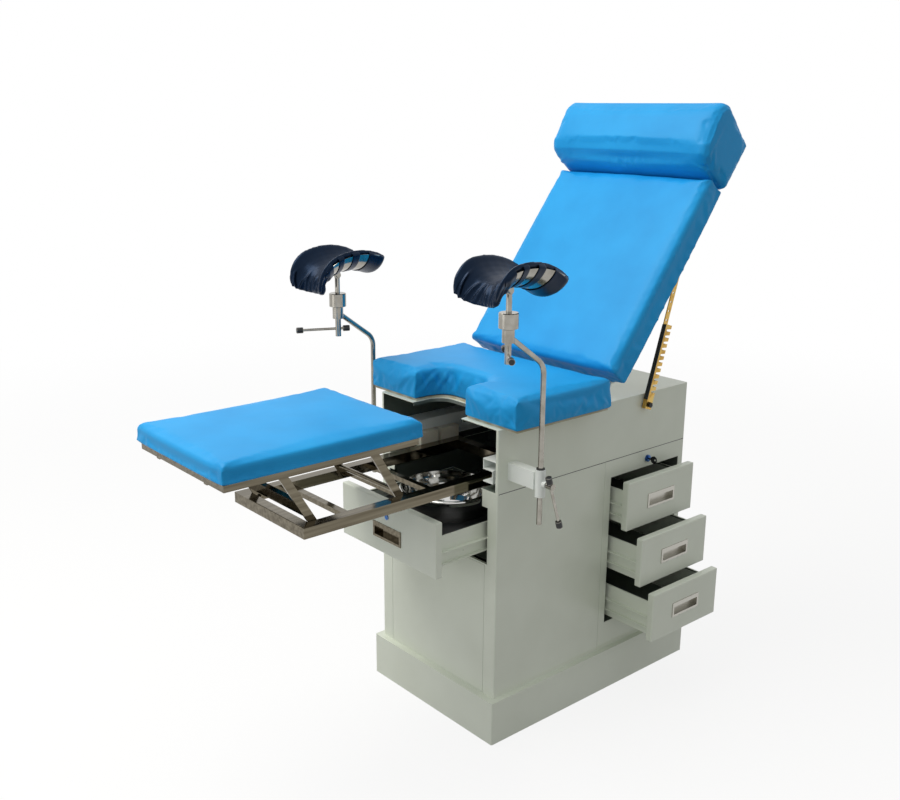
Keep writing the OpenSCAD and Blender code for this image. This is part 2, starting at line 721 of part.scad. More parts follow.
// Steel pan under the backrest cushion, with hinge lugs and strut ears
strut_u = 435;
strut_v = -30;
bar_t = 2.6;
bar_gap = 1;
bar_x = side_x + bar_gap;
strut_ear_x = bar_x + bar_t + 2 * fit_gap;
pan_start_in = 6;
pan_end_in = 41;
module backrest_frame() {
    u0 = back_from + pan_start_in;
    u1 = pillow_from + pillow_l - pan_end_in;
    rib_w = 14;
    rib_lift = 1.5;
    rib_h = pan_t - rib_lift;
    v1 = back_under - fit_gap;
    ear_r = 12;
    ear_tip_r = 10;
    color(enamel) raised() difference() {
        union() {
            // Pan: top sheet, folded rim and three ribs
            difference() {
                span([-pan_w / 2, u0, v1 - pan_t], [pan_w / 2, u1, v1]);
                span([-pan_w / 2 + sheet, u0 + sheet, v1 - pan_t - over],
                     [pan_w / 2 - sheet, u1 - sheet, v1 - sheet]);
            }
            for (k = [1:3]) span([-pan_w / 2 + sheet / 2, u0 + k * (u1 - u0) / 4 - rib_w / 2, v1 - rib_h],
                                 [pan_w / 2 - sheet / 2, u0 + k * (u1 - u0) / 4 + rib_w / 2, v1 - sheet / 2]);
            both_sides() difference() {
                union() {
                    sideways(hinge_x - lug_t / 2, lug_t) circle(lug_r);
                    sideways(hinge_x - lug_t / 2, lug_t)
                        polygon([[0, -0.8 * lug_r], [2.5 * lug_r, v1 - pan_t + sheet / 2],
                                 [back_from, v1 - pan_t + sheet / 2], [back_from, v1 - over],
                                 [lug_r / 2, -lug_r / 4]]);
                    span([hinge_x - lug_t / 2, back_from - sheet, v1 - pan_t + sheet / 2],
                         [hinge_x + lug_t / 2, u0 + 3 * lug_r, v1 - over]);
                }
                translate([hinge_x - lug_t, 0, 0]) rotate([0, 90, 0])
                    cylinder(d = hinge_pin_d + 2 * run_gap, h = 2 * lug_t);
            }
            both_sides() {
                span([pan_w / 2 - 3 * rib_w, strut_u - 2 * ear_r, v1 - sheet],
                     [strut_ear_x + ear_t, strut_u + 2 * ear_r, v1]);
                sideways(strut_ear_x, ear_t) union() {
                    translate([strut_u, strut_v]) circle(ear_tip_r);
                    translate([strut_u - ear_tip_r, strut_v]) square([2 * ear_tip_r, v1 - strut_v]);
                }
                translate([bar_x - fit_gap, strut_u, strut_v]) rotate([0, 90, 0])
                    cylinder(d = bolt_d, h = strut_ear_x - bar_x + fit_gap + over);
            }
        }
    }
}

module backrest_cushion() {
    crown_h = 3;
    roll_r = 14;
    waist = 6;
    color(vinyl) raised() translate([0, back_from + back_l / 2, back_under])
        cushion(back_w, back_l, back_t - crown_h, roll_r, crown_h, 0.015, waist, 1, 3);
}

// Head pillow: a block as thick as the backrest that swells into a rounded roll above it
pillow_roll_r = 26;
module head_pillow() {
    w = back_w - 2 * sheet;
    h = back_t + pillow_h;
    us = crowded(2);
    n = len(us);
    // Section from the pan upwards: foot side, crown, head side rolled over the end
    section = [[0, 0], [0, 0.44], [0.002, 0.56], [0.03, 0.708], [0.1, 0.883], [0.22, 0.973], [0.42, 1],
               [0.62, 1], [0.8, 0.979], [0.93, 0.915], [0.99, 0.809], [1, 0.692], [0.985, 0.56],
               [0.955, 0.34], [0.905, 0.12], [0.86, 0]];
    c = len(section);
    points = [for (u = us) let (
        s = 2 * u - 1,
        e = roll(min(u, 1 - u) * w, pillow_roll_r) / pillow_roll_r)
        each [for (p = section)
            [w / 2 * s, pillow_l * (0.5 + (p.x - 0.5) * (1 - 0.12 * e)), h * p.y * (1 - 0.1 * e)]]];
    sides = [for (i = [0:n - 2], q = [0:c - 1]) let (p = (q + 1) % c) each [
        [i * c + q, (i + 1) * c + p, (i + 1) * c + q],
        [i * c + q, i * c + p, (i + 1) * c + p]]];
    far = (n - 1) * c;
    caps = concat([for (q = [1:c - 2]) [0, q + 1, q]], [for (q = [1:c - 2]) [far, far + q, far + q + 1]]);
    color(vinyl) raised() translate([0, pillow_from, back_under])
        polyhedron(points = points, faces = concat(sides, caps), convexity = 4);
}

// Adjustable strut: slotted channel on the cabinet, flat bar on the backrest
strut_w = 24;
strut_l = 215;
bar_w = 16;
bar_end_d = 18;
bar_l = 245;
strut_dy = hinge_y + strut_u * cos(back_angle) - strut_v * sin(back_angle) - strut_y;
strut_dz = hinge_z + strut_u * sin(back_angle) + strut_v * cos(back_angle) - strut_z;
strut_tilt = atan2(strut_dy, strut_dz);

module strut_channels() {
    wall = 2;
    slot_w = 7;
    slots = 11;
    slot_pitch = strut_l / (slots + 2);
    color(zinc) both_sides() translate([0, strut_y, strut_z]) rotate([-strut_tilt, 0, 0]) difference() {
        span([strut_x, -strut_w / 2, -strut_w / 2], [strut_x + strut_t, strut_w / 2, strut_l]);
        span([strut_x - over, -strut_w / 2 + wall, strut_w / 2],
             [strut_x + strut_t - wall, strut_w / 2 - wall, strut_l + over]);
        translate([strut_x - over, 0, 0]) rotate([0, 90, 0])
            cylinder(d = bolt_d + 2 * run_gap, h = strut_t + 2 * over);
        for (k = [2:slots + 1])
            translate([strut_x, -strut_w / 5, k * slot_pitch]) rotate([12, 0, 0])
                span([0, 0, -slot_w / 2], [strut_t + over, strut_w, slot_w / 2]);
    }
}

module strut_bars() {
    color(zinc) both_sides() translate([0, strut_y + strut_dy, strut_z + strut_dz])
        rotate([-strut_tilt, 0, 0]) sideways(bar_x, bar_t) difference() {
            union() {
                translate([-bar_w / 2, -bar_l]) square([bar_w, bar_l]);
                circle(d = bar_end_d);
            }
            circle(d = bolt_d + 2 * run_gap);
            for (k = [1:9]) translate([0, -k * bar_l / 10]) circle(d = bar_w * 0.4);
        }
}

// Drawer parts. A front is a shallow tray with rounded face edges and a handle cut-out,
// drawn with its face towards -Y, its left lower corner at the origin.
handle_w = 110;
handle_h = 40;
bezel = 6;
bezel_t = 2;
cup_d = 13;
cup_wall = 1.2;
front_edge_r = 3;

module edge_rounded(w, h, t, r) {
    intersection() {
        translate([w / 2, 0, h / 2]) rotate([-90, 0, 0]) linear_extrude(t) round_rect(w, h, r);
        linear_extrude(h) {
            translate([r, 0]) square([w - 2 * r, t]);
            translate([0, r]) square([w, t - r]);
            for (x = [r, w - r]) translate([x, r]) circle(r);
        }
        translate([w, 0, 0]) rotate([0, -90, 0]) linear_extrude(w) {
            translate([r, 0]) square([h - 2 * r, t]);
            translate([0, r]) square([h, t - r]);
            for (x = [r, h - r]) translate([x, r]) circle(r);
        }
    }
}

module drawer_front(w, h, handle_z) {
    hx = w / 2 - handle_w / 2 + bezel;
    hz = handle_z - handle_h / 2 + bezel;
    flange = 14;
    difference() {
        edge_rounded(w, h, drawer_front_t, front_edge_r);
        span([sheet, sheet, sheet], [w - sheet, drawer_front_t - sheet, h - sheet]);
        span([flange, sheet, flange], [w - flange, drawer_front_t + over, h - flange]);
        span([hx - cup_wall - fit_gap, -over, hz - cup_wall - fit_gap],
             [hx + handle_w - 2 * bezel + cup_wall + fit_gap, sheet + over,
              hz + handle_h - 2 * bezel + cup_wall + fit_gap]);
    }
}

module drawer_handle(w, handle_z) {
    hx = w / 2 - handle_w / 2;
    hz = handle_z - handle_h / 2;
    grip = 6;
    difference() {
        union() {
            span([hx, -bezel_t, hz], [hx + handle_w, 0, hz + handle_h]);
            span([hx + bezel - cup_wall, -over, hz + bezel - cup_wall],
                 [hx + handle_w - bezel + cup_wall, cup_d, hz + handle_h - bezel + cup_wall]);
        }
        span([hx + bezel, -bezel_t - over, hz + bezel],
             [hx + handle_w - bezel, cup_d - cup_wall, hz + handle_h - bezel]);
    }
    // Grip lip that hangs into the cup from its upper edge
    span([hx + bezel - cup_wall, -bezel_t, hz + handle_h - bezel - grip],
         [hx + handle_w - bezel + cup_wall, 0, hz + handle_h - bezel + cup_wall]);
}

// Ball-bearing runners: a fixed outer channel and an inner rail, each 12.7 mm pair
runner_t = 12.7;
runner_h = 34;
rail_wall = 1.4;
rail_stand = 2;
rail_hole_d = 5;
box_wall = 1.5;
box_bead = 5;
module runner_channel(l) {
    // Web against x = 0, open towards +X, along +Y
    upright(0, l) difference() {
        square([runner_t - rail_stand, runner_h]);
        translate([rail_wall, rail_wall]) square([runner_t, runner_h - 2 * rail_wall]);
    }
}

module runner_rail(l) {
    // Inner rail with its web at x = runner_t, reaching back into the channel
    clear = fit_gap;
    difference() {
        upright(0, l) difference() {
            translate([rail_wall + clear, rail_wall + clear])
                square([runner_t - rail_wall - clear, runner_h - 2 * rail_wall - 2 * clear]);
            translate([rail_wall, 2 * rail_wall + clear])
                square([runner_t - 2 * rail_wall, runner_h - 4 * rail_wall - 2 * clear]);
        }
        for (k = [1:4]) translate([0, l * k / 5, runner_h / 2]) rotate([0, 90, 0])
            cylinder(d = rail_hole_d, h = runner_t + over);
    }
}

// Drawer box drawn with its front wall at y = 0, going back along +Y, centred on x
module drawer_box(w, l, h, rail_z, rail_l) {
    union() {
        difference() {
            span([-w / 2, 0, 0], [w / 2, l, h]);
            span([-w / 2 + box_wall, box_wall, box_wall], [w / 2 - box_wall, l - box_wall, h + over]);
        }
        // Rolled beads along the top of the two side walls
        for (s = [-1, 1]) translate([s * (w - box_bead) / 2, 0, h - box_bead / 2])
            rotate([-90, 0, 0]) cylinder(d = box_bead, h = l);
        for (s = [-1, 1]) on_side(s)
            translate([-w / 2 - runner_t, box_wall, rail_z]) runner_rail(rail_l);
    }
}

// Front drawer
front_gap = 5;
front_lift = 4;
front_box_lift = 26;
front_handle_z = 57;
front_front_w = front_open_w - 2 * front_gap;
front_front_z = front_sill_z + front_lift;
front_front_h = 140;
front_face_y = foot_y - front_drawer_out;
front_box_w = front_open_w - 2 * runner_t;
front_box_z = front_front_z + front_box_lift;
front_box_h = 76;
front_rail_z = 6;

module front_drawer_front() {
    color(enamel) translate([-front_front_w / 2, front_face_y, front_front_z])
        drawer_front(front_front_w, front_front_h, front_handle_z);
}

module front_drawer_handle() {
    color(stainless) translate([-front_front_w / 2, front_face_y, front_front_z])
        drawer_handle(front_front_w, front_handle_z);
}

module front_drawer_box() {
    color(enamel) translate([0, front_face_y + drawer_front_t, front_box_z])
        drawer_box(front_box_w, front_box_l, front_box_h, front_rail_z, front_box_l - 2 * sheet);
}

module front_drawer_runners() {
    color(stainless) for (s = [-1, 1]) on_side(s)
        translate([-bay_x, foot_y + top_return + sheet, front_box_z + front_rail_z])
            runner_channel(front_box_l);
}

// Black tray insert with a round hole that the wash basin hangs in
tray_h = 50;
tray_top_z = front_box_z + tray_h;
basin_y = front_face_y + drawer_front_t + front_box_l / 2;
basin_rim_drop = 2;
basin_rim_z = front_front_z + front_front_h - basin_rim_drop;
basin_foot_r = 48;
basin_wall = 1.2;

// Radius of the basin's outside at a height above its foot
function basin_radius(h) = basin_foot_r + (basin_r - basin_foot_r) * sqrt(1 - pow(1 - h / basin_h, 2));

module basin_tray() {
    wall = 3;
    half_w = front_box_w / 2 - box_wall - box_bead - fit_gap;
    y0 = front_face_y + drawer_front_t + box_wall + fit_gap;
    y1 = y0 + front_box_l - 2 * box_wall - 2 * fit_gap;
    z0 = front_box_z + box_wall + fit_gap;
    hole_r = basin_radius(tray_top_z - (basin_rim_z - basin_h)) + fit_gap;
    color(black) difference() {
        span([-half_w, y0, z0], [half_w, y1, tray_top_z]);
        span([-half_w + wall, y0 + wall, z0 - over], [half_w - wall, y1 - wall, tray_top_z - wall]);
        translate([0, basin_y, z0]) cylinder(r = hole_r, h = tray_top_z, $fn = 96);
    }
}

module wash_basin() {
    steps = 10;
    rim_r = 4;
    z0 = basin_rim_z - basin_h;
    outer = [for (k = [0:steps]) let (h = basin_h * (1 - cos(90 * k / steps))) [basin_radius(h), h]];
    inner = [for (k = [steps:-1:0]) let (h = basin_h * (1 - cos(90 * k / steps)))
        [basin_radius(h) - basin_wall, max(h, basin_wall)]];
    color(stainless) translate([0, basin_y, z0]) {
        rotate_extrude($fn = 96) union() {
            polygon(concat([[0, 0]], outer, inner, [[0, basin_wall]]));
            translate([basin_r + rim_r - basin_wall, basin_h - rim_r]) difference() {
                circle(rim_r, $fn = 24);
                circle(rim_r - basin_wall, $fn = 24);
            }
        }
    }
}

// Side drawers
side_front_gap = 4;
side_front_h = 133;
side_front_pitch = 139;
side_front_w = side_open_w - 2 * side_front_gap;
side_box_w = side_open_w - 2 * runner_t;
side_box_h = 92;
side_rail_z = 20;
side_box_lift = 14;
side_front_lift = 3;
function side_front_z(k) = side_sill_z + side_front_lift + (3 - k) * side_front_pitch;

// Turns a drawer drawn with its face towards -Y so that it faces +X
module facing_side(k) {
    translate([side_x + side_drawer_out[k - 1], side_open_mid, side_front_z(k)])
        rotate([0, 0, 90]) children();
}

module side_front(k) {
    color(enamel) facing_side(k) translate([-side_front_w / 2, 0, 0])
        drawer_front(side_front_w, side_front_h, side_front_h * 0.5);
}

module side_handle(k) {
    color(stainless) facing_side(k) translate([-side_front_w / 2, 0, 0])
        drawer_handle(side_front_w, side_front_h * 0.5);
}

module side_box(k) {
    color(enamel) facing_side(k) translate([0, drawer_front_t, side_box_lift])
        drawer_box(side_box_w, side_box_l, side_box_h, side_rail_z, side_box_l - 2 * sheet);
}

module side_drawer_1_front() { side_front(1); }
module side_drawer_2_front() { side_front(2); }
module side_drawer_3_front() { side_front(3); }
module side_drawer_1_handle() { side_handle(1); }
module side_drawer_2_handle() { side_handle(2); }
module side_drawer_3_handle() { side_handle(3); }
module side_drawer_1_box() { side_box(1); }
module side_drawer_2_box() { side_box(2); }
module side_drawer_3_box() { side_box(3); }

module side_drawer_runners() {
    channel_l = side_bay_depth - drawer_front_t - 2 * sheet;
    rail_up = side_box_lift + side_rail_z;
    color(stainless) for (k = [1:3], s = [-1, 1])
        translate([side_x - sheet - drawer_front_t, side_open_mid, side_front_z(k) + rail_up])
            rotate([0, 0, 90]) on_side(s)
                translate([-side_open_w / 2, 0, 0]) runner_channel(channel_l);
}

// Lock and key above the side drawers
lock_y = 190;
lock_drop = 25;
lock_z = seam_z - lock_drop;
lock_d = 19;
lock_rim_h = 5;
lock_face_d = 14;
lock_face_h = 7;
key_way_d = 5;
key_way_h = 5;
module drawer_lock() {
    color(stainless) translate([side_x, lock_y, lock_z]) rotate([0, 90, 0]) difference() {
        union() {
            cylinder(d = lock_d, h = lock_rim_h);
            cylinder(d = lock_face_d, h = lock_face_h);
        }
        translate([0, 0, key_way_h]) cylinder(d = key_way_d + 2 * run_gap, h = lock_face_h);
    }
}

module lock_key() {
    blade_l = 9;
    bow_d = 20;
    bow_t = 2.4;
    bow_lap = 1.5;
    bow_hole_d = 6;
    bow_hole_at = 4;
    blade_x = side_x + key_way_h + fit_gap;
    color(stainless) union() {
        translate([blade_x, lock_y, lock_z]) rotate([0, 90, 0]) cylinder(d = key_way_d, h = blade_l);
        translate([blade_x + blade_l + bow_d / 2 - bow_lap, lock_y - bow_t / 2, lock_z])
            rotate([-90, 0, 0]) difference() {
                cylinder(d = bow_d, h = bow_t);
                translate([bow_hole_at, 0, -over]) cylinder(d = bow_hole_d, h = bow_t + 2 * over);
            }
    }
}

// Crutch brackets: a box arm on the cabinet's side with an upright clamp sleeve
rod_y = -318;
arm_w = 26;
arm_h = 43;
arm_rise = 32;
arm_z = seam_z + arm_rise;
arm_wall = 2.5;
sleeve_d = 25;
sleeve_rise = 15;
sleeve_z = seam_z + sleeve_rise;
sleeve_h = 66;
bush_wall = 3.5;
bush_d = rod_d + 2 * bush_wall + 2 * run_gap;
screw_d = 8;
screw_rise = 48;
screw_z = seam_z + screw_rise;
boss_d = 16;
boss_l = 8;
arm_lap = 3;

module stirrup_brackets() {
    arm_end = rod_x - sleeve_d / 2 + arm_lap;
    color(bracket_white) both_sides() difference() {
        union() {
            difference() {
                span([side_x, rod_y - arm_w / 2, arm_z], [arm_end, rod_y + arm_w / 2, arm_z + arm_h]);
                span([side_x - over, rod_y - arm_w / 2 + arm_wall, arm_z + arm_wall],
                     [arm_end - 2 * arm_wall, rod_y + arm_w / 2 - arm_wall, arm_z + arm_h - arm_wall]);
            }
            translate([rod_x, rod_y, sleeve_z]) cylinder(d = sleeve_d, h = sleeve_h);
            translate([rod_x, rod_y, screw_z]) rotate([0, 90, 0])
                cylinder(d = boss_d, h = sleeve_d / 2 + boss_l);
        }
        translate([rod_x, rod_y, sleeve_z - over])
            cylinder(d = bush_d + 2 * run_gap, h = sleeve_h + 2 * over);
        translate([rod_x, rod_y, screw_z]) rotate([0, 90, 0])
            cylinder(d = screw_d + 2 * run_gap, h = sleeve_d + boss_l);
    }
}

module rod_bush(s) {
    bush_rise = 3;
    color(black) translate([s * rod_x, rod_y, sleeve_z]) difference() {
        cylinder(d = bush_d, h = sleeve_h + bush_rise);
        translate([0, 0, -over]) cylinder(d = rod_d + 2 * run_gap, h = sleeve_h + bush_rise + 2 * over);
    }
}

// Clamp screws with a sliding cross bar
bar_d = 7;
bar_reach = 122;
cap_d = 15;
cap_l = 17;
screw_head_d = 15;
screw_head_l = 17;
bracket_bar_turn = 18;

// Clamp at the rod's upper end, with its collar, stem and screw
rod_bend_r = 42;
clamp_d = 28;
clamp_h = 30;
collar_d = 44;
collar_h = 37;
collar_chamfer = 3;
socket_l = 20;
stem_base_d = 22;
stem_d = 13;
stem_l = 47;
eye_r = 7.5;
eye_w = 9;
tilt_pin_d = 5;
lug_round_r = 6.5;
crutch_lug_t = 3;
crutch_shank_l = 12;
crutch_head_l = 47;
crutch_hole_at = 27;
crutch_bar_turn = [-37, 66];
crutch_bar_slid = [0, -40];

// Trough of the crutch: how far its top lies above the tilt pin and towards the foot
trough_step = 10.7;
trough_foot_step = 27;
foot_arch_r = 39;
plate_gap = 0.7;
plate_half_angle = 63;
plate_head_angle = 33;
plate_foot_angle = 30;
plate_lap_angle = 1.5;
pad_half_angle = 68;
pad_head_angle = 43;
pad_foot_angle = 82;

// Clamp screw drawn along +Z from its tip, its head drilled crossways along X
module clamp_screw(shank_l, head_l, hole_at) {
    difference() {
        union() {
            cylinder(d = screw_d, h = shank_l + over);
            translate([0, 0, shank_l]) cylinder(d = screw_head_d, h = head_l);
        }
        translate([-screw_head_d, 0, shank_l + hole_at]) rotate([0, 90, 0])
            cylinder(d = bar_d + 2 * run_gap, h = 2 * screw_head_d);
    }
}

// Sliding cross bar along X through the origin, a cap at each end
module cross_bar(slid) {
    translate([slid - bar_reach / 2, 0, 0]) rotate([0, 90, 0]) {
        cylinder(d = bar_d, h = bar_reach);
        for (z = [-cap_l / 2, bar_reach - cap_l / 2]) translate([0, 0, z]) cylinder(d = cap_d, h = cap_l);
    }
}

// Puts a screw that points along +Z into its bracket boss, seen from either side
bracket_screw_from = bush_d / 2 + 3 * fit_gap;
bracket_shank_l = sleeve_d / 2 + boss_l + 2 * sheet - bracket_screw_from;
module in_boss(s) {
    on_side(s) translate([rod_x + bracket_screw_from, rod_y, screw_z])
        rotate([bracket_bar_turn, 0, 0]) rotate([0, 90, 0]) children();
}

module bracket_screw(s) {
    color(stainless) in_boss(s) clamp_screw(bracket_shank_l, screw_head_l, screw_head_l / 2);
}

module bracket_bar(s) {
    slid = (bar_reach - cap_l - screw_head_d) / 2 - fit_gap;
    color(black) in_boss(s) translate([0, 0, bracket_shank_l + screw_head_l / 2]) cross_bar(slid);
}

// Crutch rod: an upright shaft in the bush, then a bend and a leaning stretch up to the clamp
shaft_l = rod_up - rod_bend_r * tan(rod_lean / 2);
function clamp_z(k) = rod_foot_z[k] + rod_up + rod_reach / tan(rod_lean) - clamp_h / 2;
function collar_z(k) = clamp_z(k) + clamp_h - over;
function tilt_z(k) = collar_z(k) + collar_h + stem_l;
clamp_y = rod_y - rod_reach;

module rod_shaft(s, k) {
    color(stainless) translate([s * rod_x, rod_y, rod_foot_z[k]]) cylinder(d = rod_d, h = shaft_l);
}

module crutch_rod(s, k) {
    lean_l = rod_reach / sin(rod_lean) - rod_bend_r * tan(rod_lean / 2) - clamp_d / 2 * 0.8;
    bend_y = rod_y - rod_bend_r;
    bend_z = rod_foot_z[k] + shaft_l;
    color(stainless) translate([s * rod_x, 0, 0]) difference() {
        union() {
            translate([0, bend_y, bend_z]) rotate([90, 0, 90]) rotate_extrude(angle = rod_lean)
                translate([rod_bend_r, 0]) circle(d = rod_d + 2 * run_gap);
            translate([0, bend_y + rod_bend_r * cos(rod_lean), bend_z + rod_bend_r * sin(rod_lean)])
                rotate([rod_lean, 0, 0]) translate([0, 0, -over]) cylinder(d = rod_d, h = lean_l + over);
            translate([0, clamp_y, clamp_z(k)]) cylinder(d = clamp_d, h = clamp_h);
            translate([0, clamp_y, collar_z(k)]) rotate_extrude() polygon([
                [0, 0], [clamp_d / 2, 0], [collar_d / 2, collar_chamfer],
                [collar_d / 2, collar_h - collar_chamfer / 2],
                [collar_d / 2 - collar_chamfer / 2, collar_h], [0, collar_h]]);
        }
        // Threaded hole for the screw below, and the socket for the stem above
        translate([0, clamp_y, clamp_z(k) - over])
            cylinder(d = screw_d + 2 * run_gap, h = crutch_shank_l + 2 * over);
        translate([0, clamp_y, collar_z(k) + collar_h - socket_l])
            cylinder(d = stem_base_d + 2 * run_gap, h = socket_l + over);
    }
}

module under_clamp(s, k) {
    translate([s * rod_x, clamp_y, clamp_z(k) + crutch_shank_l])
        rotate([0, 0, crutch_bar_turn[k]]) rotate([180, 0, 0]) children();
}

module crutch_screw(s, k) {
    color(stainless) under_clamp(s, k)
        clamp_screw(crutch_shank_l + fit_gap, crutch_head_l, crutch_hole_at);
}

module crutch_bar(s, k) {
    color(black) under_clamp(s, k)
        translate([0, 0, crutch_shank_l + fit_gap + crutch_hole_at]) cross_bar(crutch_bar_slid[k]);
}

// Swivelling stem: a turned base in the collar, a neck and a flat eye at its top
module ball_stem(s, k) {
    base_z = collar_z(k) + collar_h - socket_l + fit_gap;
    neck_z = collar_z(k) + collar_h;
    eye_below = lug_round_r + 2 * fit_gap;
    color(stainless) translate([s * rod_x, clamp_y, 0]) difference() {
        union() {
            translate([0, 0, base_z]) cylinder(d = stem_base_d, h = neck_z - base_z);
            translate([0, 0, neck_z - over]) cylinder(d = stem_d, h = stem_l - eye_below + over);
            translate([-eye_w / 2, 0, tilt_z(k)]) rotate([0, 90, 0]) cylinder(r = eye_r, h = eye_w);
            span([-eye_w / 2, -stem_d / 2 + sheet / 2, tilt_z(k) - eye_below - over],
                 [eye_w / 2, stem_d / 2 - sheet / 2, tilt_z(k)]);
        }
        translate([-eye_w, 0, tilt_z(k)]) rotate([0, 90, 0])
            cylinder(d = tilt_pin_d + 2 * run_gap, h = 2 * eye_w);
    }
}

// Crutch trough. The section is an arc across the leg whose middle lies section_r from the
// arch's axis; the arch turns about X, tightly towards the foot and widely towards the head.
shell_r = trough_r + crutch_pad_t;
arch_y = -trough_foot_step;
arch_z = trough_step + sheet + plate_gap - trough_arch_r;
foot_arch_rise = trough_arch_r - foot_arch_r;
section_r = trough_arch_r + shell_r;
foot_section_r = foot_arch_r + shell_r;
plate_low_r = trough_arch_r - plate_gap - sheet;

module crutch_place(s, k) {
    translate([s * rod_x, clamp_y, tilt_z(k)]) rotate([crutch_tilt[k], 0, 0]) children();
}

// One stretch of the plate: an arc across the leg, turned about the arch's axis
module plate_stretch(mid_r, from, to) {
    half = mid_r * tan(plate_half_angle);
    rotate([90, 0, 90]) rotate([0, 0, 90 - to]) rotate_extrude(angle = to - from) intersection() {
        difference() {
            translate([mid_r, 0]) circle(shell_r + plate_gap + sheet);
            translate([mid_r, 0]) circle(shell_r + plate_gap);
        }
        polygon([[mid_r, 0], [0, half], [0, -half]]);
    }
}

// Pressed plate under the pad, with two lugs and the tilt pin
function plate_low_z(y) = arch_z + sqrt(plate_low_r * plate_low_r - (y - arch_y) * (y - arch_y));
module crutch_plate(s, k) {
    lug_x = eye_w / 2 + fit_gap;
    color(stainless) crutch_place(s, k) union() {
        translate([0, arch_y, arch_z]) plate_stretch(section_r, -plate_lap_angle, plate_head_angle);
        translate([0, arch_y, arch_z + foot_arch_rise])
            plate_stretch(foot_section_r, -plate_foot_angle, 0);
        for (x = [lug_x, -lug_x - crutch_lug_t]) sideways(x, crutch_lug_t) {
            circle(lug_round_r);
            polygon([[-lug_round_r, 0], [lug_round_r, 0],
                     [lug_round_r, plate_low_z(lug_round_r) + sheet / 2],
                     [-lug_round_r, plate_low_z(-lug_round_r) + sheet / 2]]);
        }
        translate([-lug_x - crutch_lug_t, 0, 0]) rotate([0, 90, 0])
            cylinder(d = tilt_pin_d, h = 2 * (lug_x + crutch_lug_t));
    }
}

// Padding over the plate, a bent trough that curls down at the foot end. Its four corners
// are rounded by drawing the rows in towards the sides and the sides in towards the ends.
function corner_share(v) = v < 0 ? 0.34 : 0.2;
module crutch_pad(s, k) {
    rows = [for (q = [0:9]) q / 9 - 1, for (q = [1:6]) q / 6];
    across = 12;
    n = len(rows);
    // Section points as [share of the half width, share of the padding's depth]
    round_share = 0.14;
    section = concat(
        [for (q = [0:across]) let (f = 2 * q / across - 1) [f, round_share * pow(f, 4)]],
        [[1.05, 0.5]],
        [for (q = [across:-1:0]) let (f = 2 * q / across - 1) [f, 1 - round_share * pow(f, 4)]],
        [[-1.05, 0.5]]);
    c = len(section);
    points = [for (i = [0:n - 1]) let (
        v = rows[i],
        thin = i == 0 || i == n - 1 ? 0.6 : 1) each [for (p = section) let (
            side = pad_half_angle * p.x * sqrt(1 - corner_share(v) * v * v),
            along = v * sqrt(1 - corner_share(v) * min(p.x * p.x, 1)),
            a = along * (v < 0 ? pad_foot_angle : pad_head_angle),
            d = trough_r + crutch_pad_t * (0.5 + (p.y - 0.5) * thin),
            r = (v < 0 ? foot_section_r : section_r) - d * cos(side),
            rise = v < 0 ? foot_arch_rise : 0)
        [d * sin(side), arch_y + r * sin(a), arch_z + rise + r * cos(a)]]];
    sides = [for (i = [0:n - 2], q = [0:c - 1]) let (p = (q + 1) % c) each [
        [i * c + q, (i + 1) * c + q, (i + 1) * c + p],
        [i * c + q, (i + 1) * c + p, i * c + p]]];
    // Both ends are closed by strips between the inner and outer arcs
    strip = [for (q = [0:across - 1]) let (o = 2 * across + 2 - q) each [
        [q, q + 1, o], [q + 1, o - 1, o]]];
    rims = [[across, across + 1, across + 2], [c - 1, 0, c - 2]];
    caps = concat(strip, rims);
    far = (n - 1) * c;
    color(leather) crutch_place(s, k) polyhedron(
        points = points,
        faces = concat(sides, caps, [for (f = caps) [far + f[0], far + f[2], far + f[1]]]),
        convexity = 6);
}

// Right and left crutches; the second number picks the side's own heights
module right_rod_bush() { rod_bush(1); }
module right_rod_shaft() { rod_shaft(1, 0); }
module right_stirrup_rod() { crutch_rod(1, 0); }
module right_stem() { ball_stem(1, 0); }
module right_crutch_plate() { crutch_plate(1, 0); }
module right_crutch_pad() { crutch_pad(1, 0); }
module right_crutch_screw() { crutch_screw(1, 0); }
module right_crutch_bar() { crutch_bar(1, 0); }
module right_bracket_screw() { bracket_screw(1); }
module right_bracket_bar() { bracket_bar(1); }
module left_rod_bush() { rod_bush(-1); }
module left_rod_shaft() { rod_shaft(-1, 1); }
module left_stirrup_rod() { crutch_rod(-1, 1); }
module left_stem() { ball_stem(-1, 1); }
module left_crutch_plate() { crutch_plate(-1, 1); }
module left_crutch_pad() { crutch_pad(-1, 1); }
module left_crutch_screw() { crutch_screw(-1, 1); }
module left_crutch_bar() { crutch_bar(-1, 1); }
module left_bracket_screw() { bracket_screw(-1); }
module left_bracket_bar() { bracket_bar(-1); }

plinth();
lower_cabinet();
front_panel();
inner_frame();
upper_box();
frame_guides();
seat_board();
seat_cushion();
stirrup_brackets();
hinge_brackets();
pivot_pins();
front_drawer_runners();
side_drawer_runners();
drawer_lock();
lock_key();
leg_slide_frame();
frame_glides();
foot_links();
head_links();
leg_subframe();
leg_cushion();
backrest_frame();
backrest_cushion();
head_pillow();
strut_channels();
strut_bars();
front_drawer_box();
front_drawer_front();
front_drawer_handle();
basin_tray();
wash_basin();
side_drawer_1_box();
side_drawer_1_front();
side_drawer_1_handle();
side_drawer_2_box();
side_drawer_2_front();
side_drawer_2_handle();
side_drawer_3_box();
side_drawer_3_front();
side_drawer_3_handle();
right_rod_bush();
right_rod_shaft();
right_stirrup_rod();
right_stem();
right_crutch_plate();
right_crutch_pad();
right_crutch_screw();
right_crutch_bar();
right_bracket_screw();
right_bracket_bar();
left_rod_bush();
left_rod_shaft();
left_stirrup_rod();
left_stem();
left_crutch_plate();
left_crutch_pad();
left_crutch_screw();
left_crutch_bar();
left_bracket_screw();
